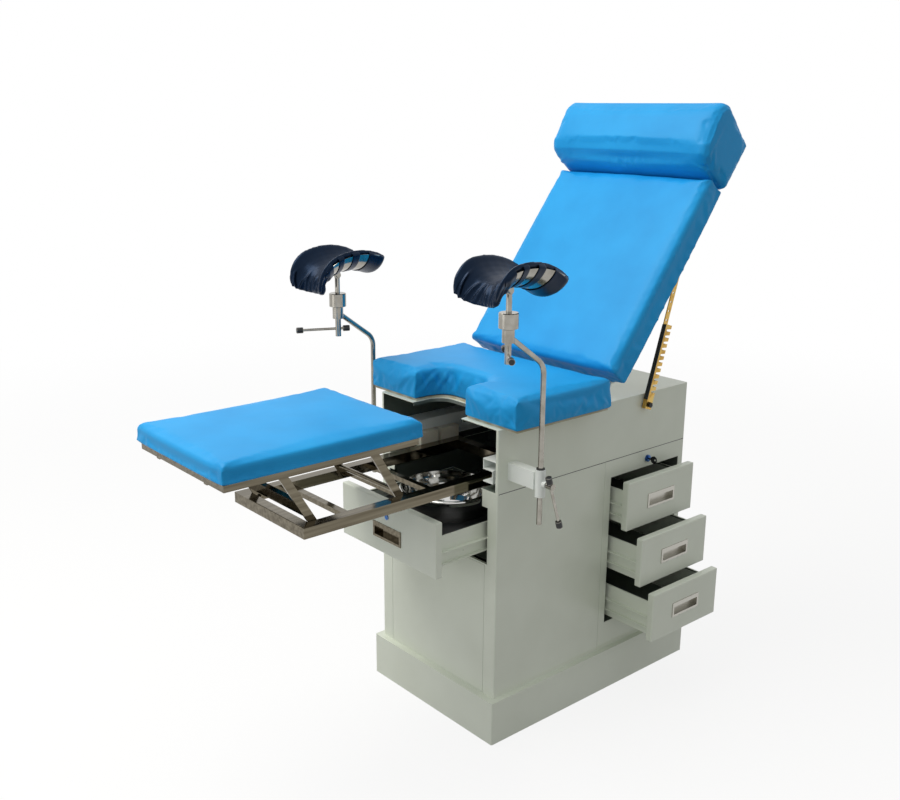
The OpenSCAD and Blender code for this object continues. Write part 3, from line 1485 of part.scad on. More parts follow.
left_bracket_bar();
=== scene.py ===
import math
import random
import bpy
import bmesh
from mathutils import Matrix, Vector


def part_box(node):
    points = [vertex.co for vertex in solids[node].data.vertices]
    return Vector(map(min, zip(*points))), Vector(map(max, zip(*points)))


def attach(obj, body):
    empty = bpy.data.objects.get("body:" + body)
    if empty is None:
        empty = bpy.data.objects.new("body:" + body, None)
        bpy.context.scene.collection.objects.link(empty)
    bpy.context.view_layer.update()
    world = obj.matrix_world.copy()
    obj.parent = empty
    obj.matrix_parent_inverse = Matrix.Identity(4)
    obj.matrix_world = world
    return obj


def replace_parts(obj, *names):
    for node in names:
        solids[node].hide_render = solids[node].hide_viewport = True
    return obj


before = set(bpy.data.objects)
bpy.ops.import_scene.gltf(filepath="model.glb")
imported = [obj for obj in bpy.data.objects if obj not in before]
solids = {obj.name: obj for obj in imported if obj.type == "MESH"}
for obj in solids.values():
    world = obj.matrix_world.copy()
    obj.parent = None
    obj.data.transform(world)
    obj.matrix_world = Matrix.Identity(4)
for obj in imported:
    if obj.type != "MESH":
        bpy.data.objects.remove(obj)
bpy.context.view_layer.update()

scene = bpy.context.scene

# View and light

# The table stands on a pale studio floor under one wide soft lamp, seen from its
# foot end and right side, a little above the seat, as in a catalogue picture. Lengths are
# in metres, unless a name or a comment says otherwise.

# The camera's place and turn, as fitted to the straight edges in the photograph
eye = Vector((1.9236, -1.9767, 1.5388))
eye_turn, eye_drop, eye_roll = math.radians(49.24), math.radians(15.47), math.radians(0.4)
picture_w_px, focal_px, sensor_mm = 900, 1055.83, 36

back = Vector((math.sin(eye_turn) * math.cos(eye_drop),
               -math.cos(eye_turn) * math.cos(eye_drop), math.sin(eye_drop)))
right = Vector((math.cos(eye_turn), math.sin(eye_turn), 0))
view = Matrix((right, back.cross(right), back)).transposed() @ Matrix.Rotation(eye_roll, 3, "Z")
bpy.ops.object.camera_add(location=eye, rotation=view.to_euler())
camera = bpy.context.object
camera.data.sensor_width = sensor_mm
camera.data.lens = focal_px / picture_w_px * sensor_mm
scene.camera = camera
scene.view_settings.view_transform = "Standard"


def srgb(code):
    """A hex colour as Blender's linear red, green, blue and alpha."""
    shares = [int(code[i:i + 2], 16) / 255 for i in (1, 3, 5)]
    return [c / 12.92 if c <= 0.04045 else ((c + 0.055) / 1.055) ** 2.4 for c in shares] + [1]


def add(tree, kind, sockets={}, **settings):
    """A shader node with its settings; a socket takes a value or another node's output."""
    made = tree.nodes.new("ShaderNode" + kind)
    for name, value in settings.items():
        setattr(made, name, value)
    for name, value in sockets.items():
        if isinstance(value, bpy.types.NodeSocket):
            tree.links.new(value, made.inputs[name])
        else:
            made.inputs[name].default_value = value
    return made


def backdrop_share(tree):
    """1 on rays that look straight at the background or see it in metal, else 0."""
    path = add(tree, "LightPath")
    seen = add(tree, "Math", {0: path.outputs["Is Camera Ray"], 1: path.outputs["Is Glossy Ray"]},
               operation="MAXIMUM")
    return add(tree, "Math", {0: seen.outputs[0], 1: path.outputs["Is Transmission Ray"]},
               operation="MAXIMUM").outputs[0]


sky = bpy.data.worlds.new("studio_sky")
sky.use_nodes = True
sky.node_tree.nodes.clear()
ambient = add(sky.node_tree, "Background", {"Color": srgb("#f6f6f4"), "Strength": 0.54})
white = add(sky.node_tree, "Background", {"Color": srgb("#ffffff"), "Strength": 1.0})
both = add(sky.node_tree, "MixShader", {0: backdrop_share(sky.node_tree), 1: ambient.outputs[0],
                                        2: white.outputs[0]})
add(sky.node_tree, "OutputWorld", {"Surface": both.outputs[0]})
scene.world = sky


def soft_light(place, aim, size, watts, colour="#ffffff"):
    """A square area light of this size, turned towards a point."""
    bpy.ops.object.light_add(type="AREA", location=place)
    light = bpy.context.object
    light.rotation_euler = (Vector(aim) - light.location).to_track_quat("-Z", "Y").to_euler()
    light.data.shape, light.data.size, light.data.energy = "SQUARE", size, watts
    light.data.color = srgb(colour)[:3]


# The lamp hangs over the foot end. A weak reflector board in front of the foot end lifts the
# faces that look towards it
soft_light((-0.9, -1.6, 3.6), (0, 0, 0.6), size=2.4, watts=82, colour="#fffcf6")
soft_light((-0.9, -4.2, 1.3), (0, 0, 0.5), size=2.0, watts=17)

# White paper that takes soft shadows near the table and glows evenly further away; only
# what the camera or bare metal sees of it is white, so that it throws no glare from below
floor_size, near_r, far_r, near_glow = 40, 1.4, 5.0, 0.84
bpy.ops.mesh.primitive_plane_add(size=floor_size)
floor = bpy.context.object
floor.name = "studio_floor"
floor_paint = bpy.data.materials.new("studio_floor_paint")
floor_paint.use_nodes = True
tree = floor_paint.node_tree
tree.nodes.clear()
matt = add(tree, "BsdfDiffuse", {"Color": srgb("#9a9a98")})
glow = add(tree, "Emission", {"Color": srgb("#ffffff"), "Strength": 1.0})
paper = add(tree, "BsdfDiffuse", {"Color": srgb("#ffffff")})
far = add(tree, "VectorMath", {0: add(tree, "TexCoord").outputs["Object"]}, operation="LENGTH")
share = add(tree, "MapRange", {"Value": far.outputs["Value"], "From Min": near_r, "From Max": far_r,
                               "To Min": near_glow, "To Max": 1.0}, interpolation_type="SMOOTHSTEP")
seen = add(tree, "MixShader", {0: share.outputs[0], 1: paper.outputs[0], 2: glow.outputs[0]})
mixed = add(tree, "MixShader", {0: backdrop_share(tree), 1: matt.outputs[0], 2: seen.outputs[0]})
add(tree, "OutputMaterial", {"Surface": mixed.outputs[0]})
floor.data.materials.append(floor_paint)

# Enamelled sheet steel

# Plinth, drawer cabinet, upper box, drawer fronts and the backrest's pan are folded from
# 2 mm sheet, welded, and stove enamelled in a greenish off-white with a soft gloss.


def finish(name, colour, roughness, metallic=0.0, **shader_settings):
    """A new finish: its material, node tree, shader and the object's own coordinates."""
    made = bpy.data.materials.new(name)
    made.use_nodes = True
    nodes = made.node_tree
    nodes.nodes.clear()
    shader = add(nodes, "BsdfPrincipled", {"Base Color": srgb(colour), "Roughness": roughness,
                                           "Metallic": metallic})
    for socket, value in shader_settings.items():
        shader.inputs[socket.replace("_", " ")].default_value = value
    add(nodes, "OutputMaterial", {"Surface": shader.outputs[0]})
    return made, nodes, shader, add(nodes, "TexCoord").outputs["Object"]


def per(mm):
    """Texture scale that gives a feature of this size in millimetres."""
    return 1000 / mm


def clouds(nodes, where, mm, detail=2, stretch=(1, 1, 1)):
    """Noise with features of this size; stretch makes them longer along an axis."""
    if stretch != (1, 1, 1):
        where = add(nodes, "Mapping", {"Vector": where, "Scale": [1 / s for s in stretch]}).outputs[0]
    return add(nodes, "TexNoise", {"Vector": where, "Scale": per(mm), "Detail": detail}).outputs["Fac"]


def tint(nodes, shader, fac, *stops):
    """Varies the base colour along a texture, each stop given as (place, hex colour)."""
    made = add(nodes, "ValToRGB", {"Fac": fac})
    points = made.color_ramp.elements
    while len(points) < len(stops):
        points.new(0.5)
    for point, (place, colour) in zip(points, stops):
        point.position, point.color = place, srgb(colour)
    nodes.links.new(made.outputs["Color"], shader.inputs["Base Color"])


def uneven_gloss(nodes, shader, fac, low, high):
    """Varies the roughness along a texture."""
    spread = add(nodes, "MapRange", {"Value": fac, "To Min": low, "To Max": high})
    nodes.links.new(spread.outputs[0], shader.inputs["Roughness"])


def dent(nodes, shader, height, depth_mm, strength):
    """Raises the surface by a texture, depth in millimetres."""
    made = add(nodes, "Bump", {"Height": height, "Distance": depth_mm / 1000, "Strength": strength})
    nodes.links.new(made.outputs[0], shader.inputs["Normal"])
    return made


def orange_peel(nodes, shader, where):
    """The fine unevenness of sprayed and stoved paint, a few millimetres wide."""
    dent(nodes, shader, clouds(nodes, where, mm=5), depth_mm=0.05, strength=0.35)


def coat(material, *names):
    """Gives CAD nodes a finish on their own slots."""
    for name in names:
        piece = solids[name]
        if not piece.material_slots:
            piece.data.materials.append(material)
        for holder in piece.material_slots:
            holder.material = material


# Stove enamel: even colour with a faint cloudiness
enamel, nodes, shader, where = finish("stove_enamel", "#dfe5d7", roughness=0.36,
                                      Coat_Weight=0.2, Coat_Roughness=0.18)
tint(nodes, shader, clouds(nodes, where, mm=160, detail=3), (0.35, "#dce2d4"), (0.7, "#e3e9dc"))
orange_peel(nodes, shader, where)
side_drawers = [f"side_drawer_{number}" for number in (1, 2, 3)]
coat(enamel, "plinth", "front_panel", "backrest_frame", "front_drawer_front",
     *[f"{drawer}_front" for drawer in side_drawers])

# Inside, the cabinet and the drawer boxes are painted a dark grey-green as painted shade for
# the unlit inside: the enamel's colour ends this far in from a piece's box along x, y and z. A
# drawer box carries its rails on its two long sides, and the enamel reaches in past them
shell_shade_inset, box_shade_inset, rail_shade_inset = 0.0016, 0.0007, 0.0137
shade_insets = {"lower_cabinet": [shell_shade_inset] * 3, "upper_box": [shell_shade_inset] * 3,
         "front_drawer_box": (rail_shade_inset, box_shade_inset, box_shade_inset)}
shade_insets.update({f"{drawer}_box": (box_shade_inset, rail_shade_inset, box_shade_inset) for drawer in side_drawers})
mix_share, mix_plain, mix_shade, mix_result = 0, 6, 7, 2
for name, skin in shade_insets.items():
    sprayed = enamel.copy()
    sprayed.name = f"enamel_painted_shade_inside_{name}"
    nodes = sprayed.node_tree
    shader = nodes.nodes["Principled BSDF"]
    low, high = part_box(name)
    middle, half = (low + high) / 2, (high - low) / 2
    spot = add(nodes, "VectorMath", {0: nodes.nodes["Texture Coordinate"].outputs["Object"], 1: middle},
               operation="SUBTRACT").outputs[0]
    spot = add(nodes, "VectorMath", {0: spot}, operation="ABSOLUTE").outputs[0]
    spot = add(nodes, "SeparateXYZ", {0: spot})
    inside = 1.0
    for way in range(3):
        within = add(nodes, "Math", {0: spot.outputs[way], 1: half[way] - skin[way]},
                     operation="LESS_THAN").outputs[0]
        inside = add(nodes, "Math", {0: within, 1: inside}, operation="MULTIPLY").outputs[0]
    # Within the box the base colour turns dark grey-green: painted shade for the unlit inside
    shaded_colour = add(nodes, "Mix", data_type="RGBA")
    shaded_colour.inputs[mix_shade].default_value = srgb("#59635b")
    nodes.links.new(inside, shaded_colour.inputs[mix_share])
    nodes.links.new(shader.inputs["Base Color"].links[0].from_socket, shaded_colour.inputs[mix_plain])
    nodes.links.new(shaded_colour.outputs[mix_result], shader.inputs["Base Color"])
    coat(sprayed, name)

# The inner frame inside the cabinet is painted dark grey: painted shade, as it lies in the cabinet's
# shadow
frame_shade_paint, nodes, shader, where = finish("frame_painted_shade", "#535b54", roughness=0.5)
orange_peel(nodes, shader, where)
coat(frame_shade_paint, "inner_frame")

# The brackets and guide channels are enamelled apart, a touch whiter
bracket_enamel, nodes, shader, where = finish("bracket_enamel", "#f0f5f1", roughness=0.32,
                                              Coat_Weight=0.25, Coat_Roughness=0.15)
orange_peel(nodes, shader, where)
coat(bracket_enamel, "frame_guides", "stirrup_brackets", "hinge_brackets")

# Bright metal

# Pull-out frame, links, rods and clamps are polished stainless steel tube and bar, and the
# wash basin is spun from stainless sheet. Drawer runners and backrest struts are zinc plated.

# Polished tube keeps faint lines along its length; its dark, warm brown base colour is painted reflection
# of the dark surroundings it mirrors
stainless, nodes, shader, where = finish("polished_stainless", "#6a6355", roughness=0.12, metallic=1.0)
streaks = clouds(nodes, where, mm=9, detail=3, stretch=(1, 30, 1))
tint(nodes, shader, streaks, (0.3, "#5a5345"), (0.7, "#7d7666"))
uneven_gloss(nodes, shader, clouds(nodes, where, mm=30, detail=3), low=0.07, high=0.15)
coat(stainless, "leg_slide_frame", "foot_links", "head_links", "leg_subframe", "front_drawer_handle")

# Turned and polished bar, brighter than the tube
bright_bar, nodes, shader, where = finish("polished_bar", "#9a968d", roughness=0.14, metallic=1.0)
tint(nodes, shader, clouds(nodes, where, mm=25), (0.3, "#8f8b82"), (0.7, "#a5a29a"))
turned_marks = clouds(nodes, where, mm=0.8, detail=1, stretch=(30, 30, 1))
dent(nodes, shader, turned_marks, depth_mm=0.02, strength=0.2)
sides = (("right", 1), ("left", -1))
bar_parts = ("rod_shaft", "stirrup_rod", "stem", "crutch_plate", "crutch_screw", "bracket_screw",
             "crutch_bar", "bracket_bar")
coat(bright_bar, *[f"{side}_{part}" for side, sign in sides for part in bar_parts])


def wave_scale(mm):
    """Scale of a wave texture whose bands or rings lie this far apart."""
    return 2 * math.pi / 20 * per(mm)


# Spun basin: mirror bright with faint rings around its axis
basin_low, basin_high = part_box("wash_basin")
basin_mid = (basin_low + basin_high) / 2
basin_steel, nodes, shader, where = finish("spun_stainless", "#cfcfcc", roughness=0.07, metallic=1.0)
centred = add(nodes, "Mapping", {"Vector": where, "Location": [-c for c in basin_mid]}).outputs[0]
rings = add(nodes, "TexWave", {"Vector": centred, "Scale": wave_scale(12.566), "Distortion": 0.6,
                               "Detail": 1}, wave_type="RINGS", rings_direction="Z")
dent(nodes, shader, rings.outputs["Fac"], depth_mm=0.03, strength=0.12)
coat(basin_steel, "wash_basin")

# Recessed handles of the side drawers, brushed
handle_steel, nodes, shader, where = finish("satin_stainless", "#b3b1a9", roughness=0.3, metallic=1.0)
brushed = clouds(nodes, where, mm=1, detail=1, stretch=(1, 40, 1))
dent(nodes, shader, brushed, depth_mm=0.02, strength=0.3)
coat(handle_steel, *[f"{drawer}_handle" for drawer in side_drawers])

# Drawer runners: bright zinc on cold-rolled strip, with a faint spangle
galvanised, nodes, shader, where = finish("bright_zinc", "#b9c0c3", roughness=0.32, metallic=1.0)
spangle = add(nodes, "TexVoronoi", {"Vector": where, "Scale": per(6)}).outputs["Color"]
uneven_gloss(nodes, shader, spangle, low=0.24, high=0.42)
coat(galvanised, "front_drawer_runners", "side_drawer_runners")

# Backrest struts: strip passivated in yellow zinc, with its greenish and pink tints
yellow_zinc, nodes, shader, where = finish("yellow_zinc", "#c29a4e", roughness=0.3, metallic=1.0)
tint(nodes, shader, clouds(nodes, where, mm=25, detail=3),
     (0.3, "#a9843f"), (0.5, "#c9a45a"), (0.7, "#bfae6c"))
coat(yellow_zinc, "strut_channels", "strut_bars")

# The lock's face is blued steel
blued, nodes, shader, where = finish("blued_steel", "#3b5f94", roughness=0.22, metallic=1.0)
dent(nodes, shader, clouds(nodes, where, mm=3, detail=1), depth_mm=0.02, strength=0.1)
coat(blued, "drawer_lock")

# Black and plain parts

# Caps and bushes are moulded black plastic, the drawer insert round the basin takes the same
# near-black finish, the glides are natural nylon, the seat's board is plywood, and the strut bolts, hinge
# pins and key are blackened steel.

black_plastic, nodes, shader, where = finish("moulded_black_plastic", "#17191a", roughness=0.42)
dent(nodes, shader, clouds(nodes, where, mm=0.7), depth_mm=0.04, strength=0.4)
coat(black_plastic, "basin_tray", "right_rod_bush", "left_rod_bush")

blackened, nodes, shader, where = finish("blackened_steel", "#26272a", roughness=0.38, metallic=0.8)
dent(nodes, shader, clouds(nodes, where, mm=2), depth_mm=0.03, strength=0.3)
coat(blackened, "pivot_pins", "lock_key")

nylon, nodes, shader, where = finish("natural_nylon", "#dcd6c4", roughness=0.45, Subsurface_Weight=0.1)
dent(nodes, shader, clouds(nodes, where, mm=2, detail=1), depth_mm=0.03, strength=0.3)
coat(nylon, "frame_glides")

board, nodes, shader, where = finish("birch_plywood", "#c3bca4", roughness=0.6)
grain = add(nodes, "TexWave", {"Vector": where, "Scale": wave_scale(43.98), "Distortion": 6,
                               "Detail": 3}, bands_direction="X")
tint(nodes, shader, grain.outputs["Fac"], (0.0, "#b3a98c"), (1.0, "#cdc7b2"))
coat(board, "seat_board")

# The caps on the clamps' sliding bars are pushed-on black plastic, rounded at their rims.
# Each bar lies along the direction given here, half its length either way from its middle
cap_r, cap_l, cap_round, bar_half = 0.0077, 0.0174, 0.0018, 0.061
smooth_below = math.radians(40)
bpy.ops.object.select_all(action="DESELECT")
bpy.ops.mesh.primitive_cylinder_add(vertices=32, radius=cap_r, depth=cap_l)
cap = bpy.context.object
bpy.ops.object.mode_set(mode="EDIT")
bpy.ops.mesh.select_all(action="DESELECT")
rims = bmesh.from_edit_mesh(cap.data)
for edge in rims.edges:
    edge.select = abs(edge.verts[0].co.z - edge.verts[1].co.z) < 1e-6
bmesh.update_edit_mesh(cap.data)
bpy.ops.mesh.bevel(offset=cap_round, segments=3, affect="EDGES")
bpy.ops.object.mode_set(mode="OBJECT")
bpy.ops.object.shade_smooth_by_angle(angle=smooth_below)
cap.data.materials.append(black_plastic)
bar_turns = {"right": math.radians(-37), "left": math.radians(66)}
boss_turn = math.radians(18)
boss_way = Vector((0, math.sin(boss_turn), -math.cos(boss_turn)))
for side, sign in sides:
    bar_way = Vector((math.cos(bar_turns[side]), math.sin(bar_turns[side]), 0))
    for bar, body, along in (("crutch_bar", "clamp_bar", bar_way), ("bracket_bar", "boss_bar", boss_way)):
        low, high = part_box(f"{side}_{bar}")
        turned = along.to_track_quat("Z", "Y").to_matrix().to_4x4()
        for end in (-1, 1):
            bpy.ops.object.select_all(action="DESELECT")
            pushed_on = cap.copy()
            pushed_on.data = cap.data.copy()
            pushed_on.name = pushed_on.data.name = f"{side}_{bar}_cap_{'near' if end < 0 else 'far'}"
            scene.collection.objects.link(pushed_on)
            middle = (low + high) / 2 + along * bar_half * end
            pushed_on.data.transform(Matrix.Translation(middle) @ turned)
            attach(pushed_on, f"{side}_{body}")
bpy.data.objects.remove(cap)

# Small trim

# A thin black strip along the joint between cabinet and upper box and one on each strut
# channel's foot-end side are painted shade; the front drawer has a small blued cam lock.


def strip(name, low, high, rounding, material, body, turn=Matrix.Identity(4)):
    """A bar between two corners, with rounded edges, turned and fixed to a body."""
    bpy.ops.object.select_all(action="DESELECT")
    low, high = Vector(low), Vector(high)
    bpy.ops.mesh.primitive_cube_add(size=1, location=(low + high) / 2, scale=high - low)
    bar = bpy.context.object
    bar.name = bar.data.name = name
    bpy.ops.object.transform_apply(location=True, rotation=True, scale=True)
    bpy.ops.object.mode_set(mode="EDIT")
    bpy.ops.mesh.select_all(action="SELECT")
    bpy.ops.mesh.bevel(offset=rounding, segments=2, affect="EDGES")
    bpy.ops.object.mode_set(mode="OBJECT")
    bar.data.transform(turn)
    bpy.ops.object.shade_smooth_by_angle(angle=smooth_below)
    bar.data.materials.append(material)
    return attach(bar, body)


upper_low, upper_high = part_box("upper_box")
# The black strip in the joint is painted shade, a dark line where the seam lies in shadow
seam_shade_h, seam_shade_in, seam_shade_out, seam_shade_end, seam_shade_round = 0.0016, 0.001, 0.0004, 0.004, 0.0002
for side, sign in sides:
    faces = sorted((sign * (upper_high.x - seam_shade_in), sign * (upper_high.x + seam_shade_out)))
    strip(f"{side}_seam_shade_strip", (faces[0], upper_low.y + seam_shade_end, upper_low.z - seam_shade_h / 2),
          (faces[1], upper_high.y - seam_shade_end, upper_low.z + seam_shade_h / 2), seam_shade_round,
          black_plastic, "cabinet")

# The black strip is painted shade, a dark bar for the channel's shaded foot-end flank. It runs
# along the channel, from above its foot bolt to its upper end. Its places are measured from
# the foot bolt, y across the channel towards the head and z along it
strut_foot = Vector((0, 0.165, 0.790))
strut_lean = math.radians(17.42)
strut_w, shade_strip_in, shade_strip_out, shade_strip_round = 0.012, 0.0003, 0.0004, 0.0006
shade_strip_y, shade_strip_z = (-0.0146, -0.0118), (0.012, 0.213)
along_strut = Matrix.Translation(strut_foot) @ Matrix.Rotation(-strut_lean, 4, "X")
strut_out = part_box("strut_channels")[1].x
for side, sign in sides:
    faces = sorted((sign * (strut_out - strut_w + shade_strip_in), sign * (strut_out + shade_strip_out)))
    low, high = zip(faces, shade_strip_y, shade_strip_z)
    strip(f"{side}_strut_shade_strip", low, high, shade_strip_round, black_plastic, "strut_channel_pair",
          along_strut)

# The cam lock is a round button with a sunk face
lock_r, lock_l, lock_proud, lock_z, lock_rim, lock_sunk = 0.0065, 0.003, 0.0006, 0.574, 0.0018, 0.0008
front_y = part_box("front_drawer_front")[0].y
bpy.ops.object.select_all(action="DESELECT")
bpy.ops.mesh.primitive_cylinder_add(vertices=32, radius=lock_r, depth=lock_l,
                                    location=(0, front_y - lock_proud, lock_z),
                                    rotation=(math.pi / 2, 0, 0))
cam_lock = bpy.context.object
cam_lock.name = cam_lock.data.name = "front_drawer_lock"
bpy.ops.object.transform_apply(location=True, rotation=True, scale=True)
bpy.ops.object.mode_set(mode="EDIT")
bpy.ops.mesh.select_all(action="DESELECT")
shape = bmesh.from_edit_mesh(cam_lock.data)
for face in shape.faces:
    face.select = face.normal.y < -0.9
bmesh.update_edit_mesh(cam_lock.data)
bpy.ops.mesh.inset(thickness=lock_rim)
bpy.ops.transform.translate(value=(0, lock_sunk, 0))
bpy.ops.object.mode_set(mode="OBJECT")
bpy.ops.object.shade_smooth_by_angle(angle=smooth_below)
cam_lock.data.materials.append(blued)
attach(cam_lock, "front_drawer")

# Cushions

# Seat, leg rest, backrest and head pillow are foam on a board or pan, covered in bright
# blue coated vinyl that is pulled over the foam and tacked down along the underside.

vinyl, nodes, shader, where = finish("blue_vinyl", "#1b9ce0", roughness=0.46, Specular_IOR_Level=0.24)
tint(nodes, shader, clouds(nodes, where, mm=120, detail=3), (0.3, "#1898dc"), (0.7, "#1fa2e6"))
pores = add(nodes, "TexVoronoi", {"Vector": where, "Scale": per(1.6)}, feature="DISTANCE_TO_EDGE")
embossed = dent(nodes, shader, pores.outputs["Distance"], depth_mm=0.12, strength=0.18)
wavy = add(nodes, "Bump", {"Height": clouds(nodes, where, mm=60), "Distance": 0.0015, "Strength": 0.35})
nodes.links.new(wavy.outputs[0], embossed.inputs["Normal"])

# The backrest's hinge, and how far it leans at rest
hinge = Vector((0, -0.004, 0.842))
back_angle = math.radians(52.6)


def above_pan(p):
    """Height of a point over the hinge, square to the leaning backrest."""
    return -(p.y - hinge.y) * math.sin(back_angle) + (p.z - hinge.z) * math.cos(back_angle)


def copied(node, name):
    """A closed copy of a CAD node's mesh under a new name, bare of finishes."""
    bpy.ops.object.select_all(action="DESELECT")
    piece = solids[node].copy()
    piece.data = solids[node].data.copy()
    piece.name = piece.data.name = name
    piece.parent = None
    piece.matrix_world = Matrix.Identity(4)
    piece.data.materials.clear()
    scene.collection.objects.link(piece)
    shape = bmesh.new()
    shape.from_mesh(piece.data)
    bmesh.ops.remove_doubles(shape, verts=shape.verts, dist=1e-5)
    shape.to_mesh(piece.data)
    shape.free()
    bpy.context.view_layer.objects.active = piece
    piece.select_set(True)
    return piece


def apply(piece, kind, **settings):
    """Adds a modifier with these settings and applies it."""
    bpy.context.view_layer.objects.active = piece
    change = piece.modifiers.new(kind.lower(), kind)
    for name, value in settings.items():
        setattr(change, name, value)
    bpy.ops.object.modifier_apply(modifier=change.name)


def crease(piece, *folds):
    """Raises small folds in a cover, or sinks them where the height is negative.

    Each fold gives its middle, its run, half its length, half its width and its height, in mm.
    It fades out over its length and width, and ends where nothing is left of it."""
    fade_reach = 3
    normals = [v.normal.copy() for v in piece.data.vertices]
    for middle, run, half_l, half_w, height in folds:
        middle, run = Vector(middle) / 1000, Vector(run).normalized()
        for point, normal in zip(piece.data.vertices, normals):
            away = point.co - middle
            if away.length > fade_reach * half_l / 1000:
                continue
            along = away.dot(run)
            across = (away - run * along).length
            share = math.exp(-(along * 1000 / half_l) ** 2 - (across * 1000 / half_w) ** 2)
            point.co += normal * height / 1000 * share


def gathered(corner, up, ways, height):
    """Folds in mm that fan out from a lower corner of a cushion, where the cover is pleated.

    They lean from straight up towards each of the ways; every second one is a dip."""
    corner, up = Vector(corner), Vector(up).normalized()
    half_w, start_share = 5, 0.9
    fan = []
    for way in ways:
        way = Vector(way).normalized()
        for lean, half_l, height_share in ((0.35, 20, 1.0), (0.9, 24, -0.7), (1.5, 26, 0.8)):
            run = (up + way * lean).normalized()
            fan.append((corner + run * half_l * start_share, run, half_l, half_w, height * height_share))
    return fan


def upholster(piece, cell_mm, tacked, folds):
    """Pulls a cover over the foam: a fine even skin, a little small, that the foam swells.

    tacked says which points are held by the board. The cover has some spare cloth, and no
    point of it moves further than a few millimetres."""
    ease, most, slack, pressure, days = 0.0015, 0.004, 0.02, 4.0, 20
    piece.data.remesh_voxel_size = cell_mm / 1000
    bpy.ops.object.voxel_remesh()
    apply(piece, "SMOOTH", factor=0.5, iterations=4)
    apply(piece, "DISPLACE", strength=-ease, mid_level=0)
    start = [v.co.copy() for v in piece.data.vertices]
    held = piece.vertex_groups.new(name="tacked")
    held.add([v.index for v in piece.data.vertices if tacked(v.co)], 1.0, "REPLACE")
    cloth = piece.modifiers.new("cover", "CLOTH")
    cloth.settings.effector_weights.gravity = 0
    cloth.settings.use_pressure = True
    cloth.settings.uniform_pressure_force = pressure
    cloth.settings.shrink_min = -slack
    cloth.settings.vertex_group_mass = "tacked"
    cloth.settings.quality = 4
    for day in range(1, days + 1):
        scene.frame_set(day)
    bpy.ops.object.modifier_apply(modifier="cover")
    scene.frame_set(1)
    for point, first in zip(piece.data.vertices, start):
        moved = point.co - first
        if moved.length > most:
            point.co = first + moved * (most / moved.length)
    piece.vertex_groups.clear()
    apply(piece, "SUBSURF", levels=1, render_levels=1)
    crease(piece, *folds)
    bpy.ops.object.shade_smooth()
    piece.data.materials.append(vinyl)


# Seat: the cover is pleated down the notch's wall, from one cheek round to the other, and at
# the four lower corners
tack_h = 0.006
seat = copied("seat_cushion", "seat_cover")
seat_near, seat_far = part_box("seat_cushion")
notch_folds = [
    ((-93, -330, 872), (0.05, 0.6, -0.8), 26, 7, 3.0),
    ((-93, -315, 858), (0.05, 0.5, -0.85), 24, 7, -2.4),
    ((-91, -297, 870), (0.1, 0.45, -0.85), 28, 8, 3.2),
    ((-85, -280, 862), (0.5, 0.3, -0.8), 26, 8, -2.6),
    ((-74, -268, 872), (0.6, 0.1, -0.8), 26, 8, 3.0),
    ((-52, -260, 862), (0.5, 0, -0.85), 24, 8, -2.4),
    ((-28, -260, 870), (-0.4, 0, -0.9), 24, 8, 2.6),
    ((8, -260, 866), (-0.6, 0, -0.8), 24, 8, -2.2),
    ((34, -260, 870), (0.5, 0, -0.8), 24, 8, 2.4),
    ((66, -264, 868), (-0.5, -0.2, -0.8), 26, 8, 2.6),
    ((93, -310, 866), (0, -0.5, -0.8), 26, 8, 2.4)]


def corner_folds(near, far, near_height, far_height, inset=0.0, lift=0.0):
    """Folds at the four lower corners of a level cushion, between its box's two corners."""
    fan = []
    for sign in (-1, 1):
        for end, way, height in ((near.y + inset, 1, near_height), (far.y - inset, -1, far_height)):
            corner = Vector((sign * (far.x - inset), end, near.z + lift)) * 1000
            fan += gathered(corner, (0, 0, 1), ((-sign, 0, 0), (0, way, 0)), height)
    return fan


upholster(seat, 6, lambda p: p.z < seat_near.z + tack_h,
          notch_folds + corner_folds(seat_near, seat_far, 1.8, 3.0, inset=0.001, lift=0.0027))
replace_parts(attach(seat, "cabinet"), "seat_cushion")

leg = copied("leg_cushion", "leg_cover")
leg_near, leg_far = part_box("leg_cushion")
upholster(leg, 6, lambda p: p.z < leg_near.z + tack_h, corner_folds(leg_near, leg_far, 2.2, 2.2))
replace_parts(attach(leg, "leg_rest"), "leg_cushion")


def on_pan(x, along, above):
    """A point of the leaning backrest in mm, from its distances along the pan and above it."""
    return Vector((x, hinge.y * 1000 + along * math.cos(back_angle) - above * math.sin(back_angle),
                   hinge.z * 1000 + along * math.sin(back_angle) + above * math.cos(back_angle)))


# Backrest: pleats at its two lower corners, and folds up over the front edge beside them
up_pan, off_pan = on_pan(0, 1, 0) - on_pan(0, 0, 0), on_pan(0, 0, 1) - on_pan(0, 0, 0)
pan_tack = -0.009
back_folds = []
for sign in (-1, 1):
    inward = Vector((-sign, 0, 0))
    back_folds += [*gathered(on_pan(sign * 270, 42, -13), off_pan, (up_pan, inward), 2.8),
                   (on_pan(sign * 262, 60, 61), up_pan + off_pan * 0.3, 40, 8, 1.6),
                   (on_pan(sign * 240, 52, 62), up_pan, 30, 7, -1.4)]
back_cover = copied("backrest_cushion", "backrest_cover")
upholster(back_cover, 7, lambda p: above_pan(p) < pan_tack, back_folds)
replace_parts(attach(back_cover, "backrest"), "backrest_cushion")

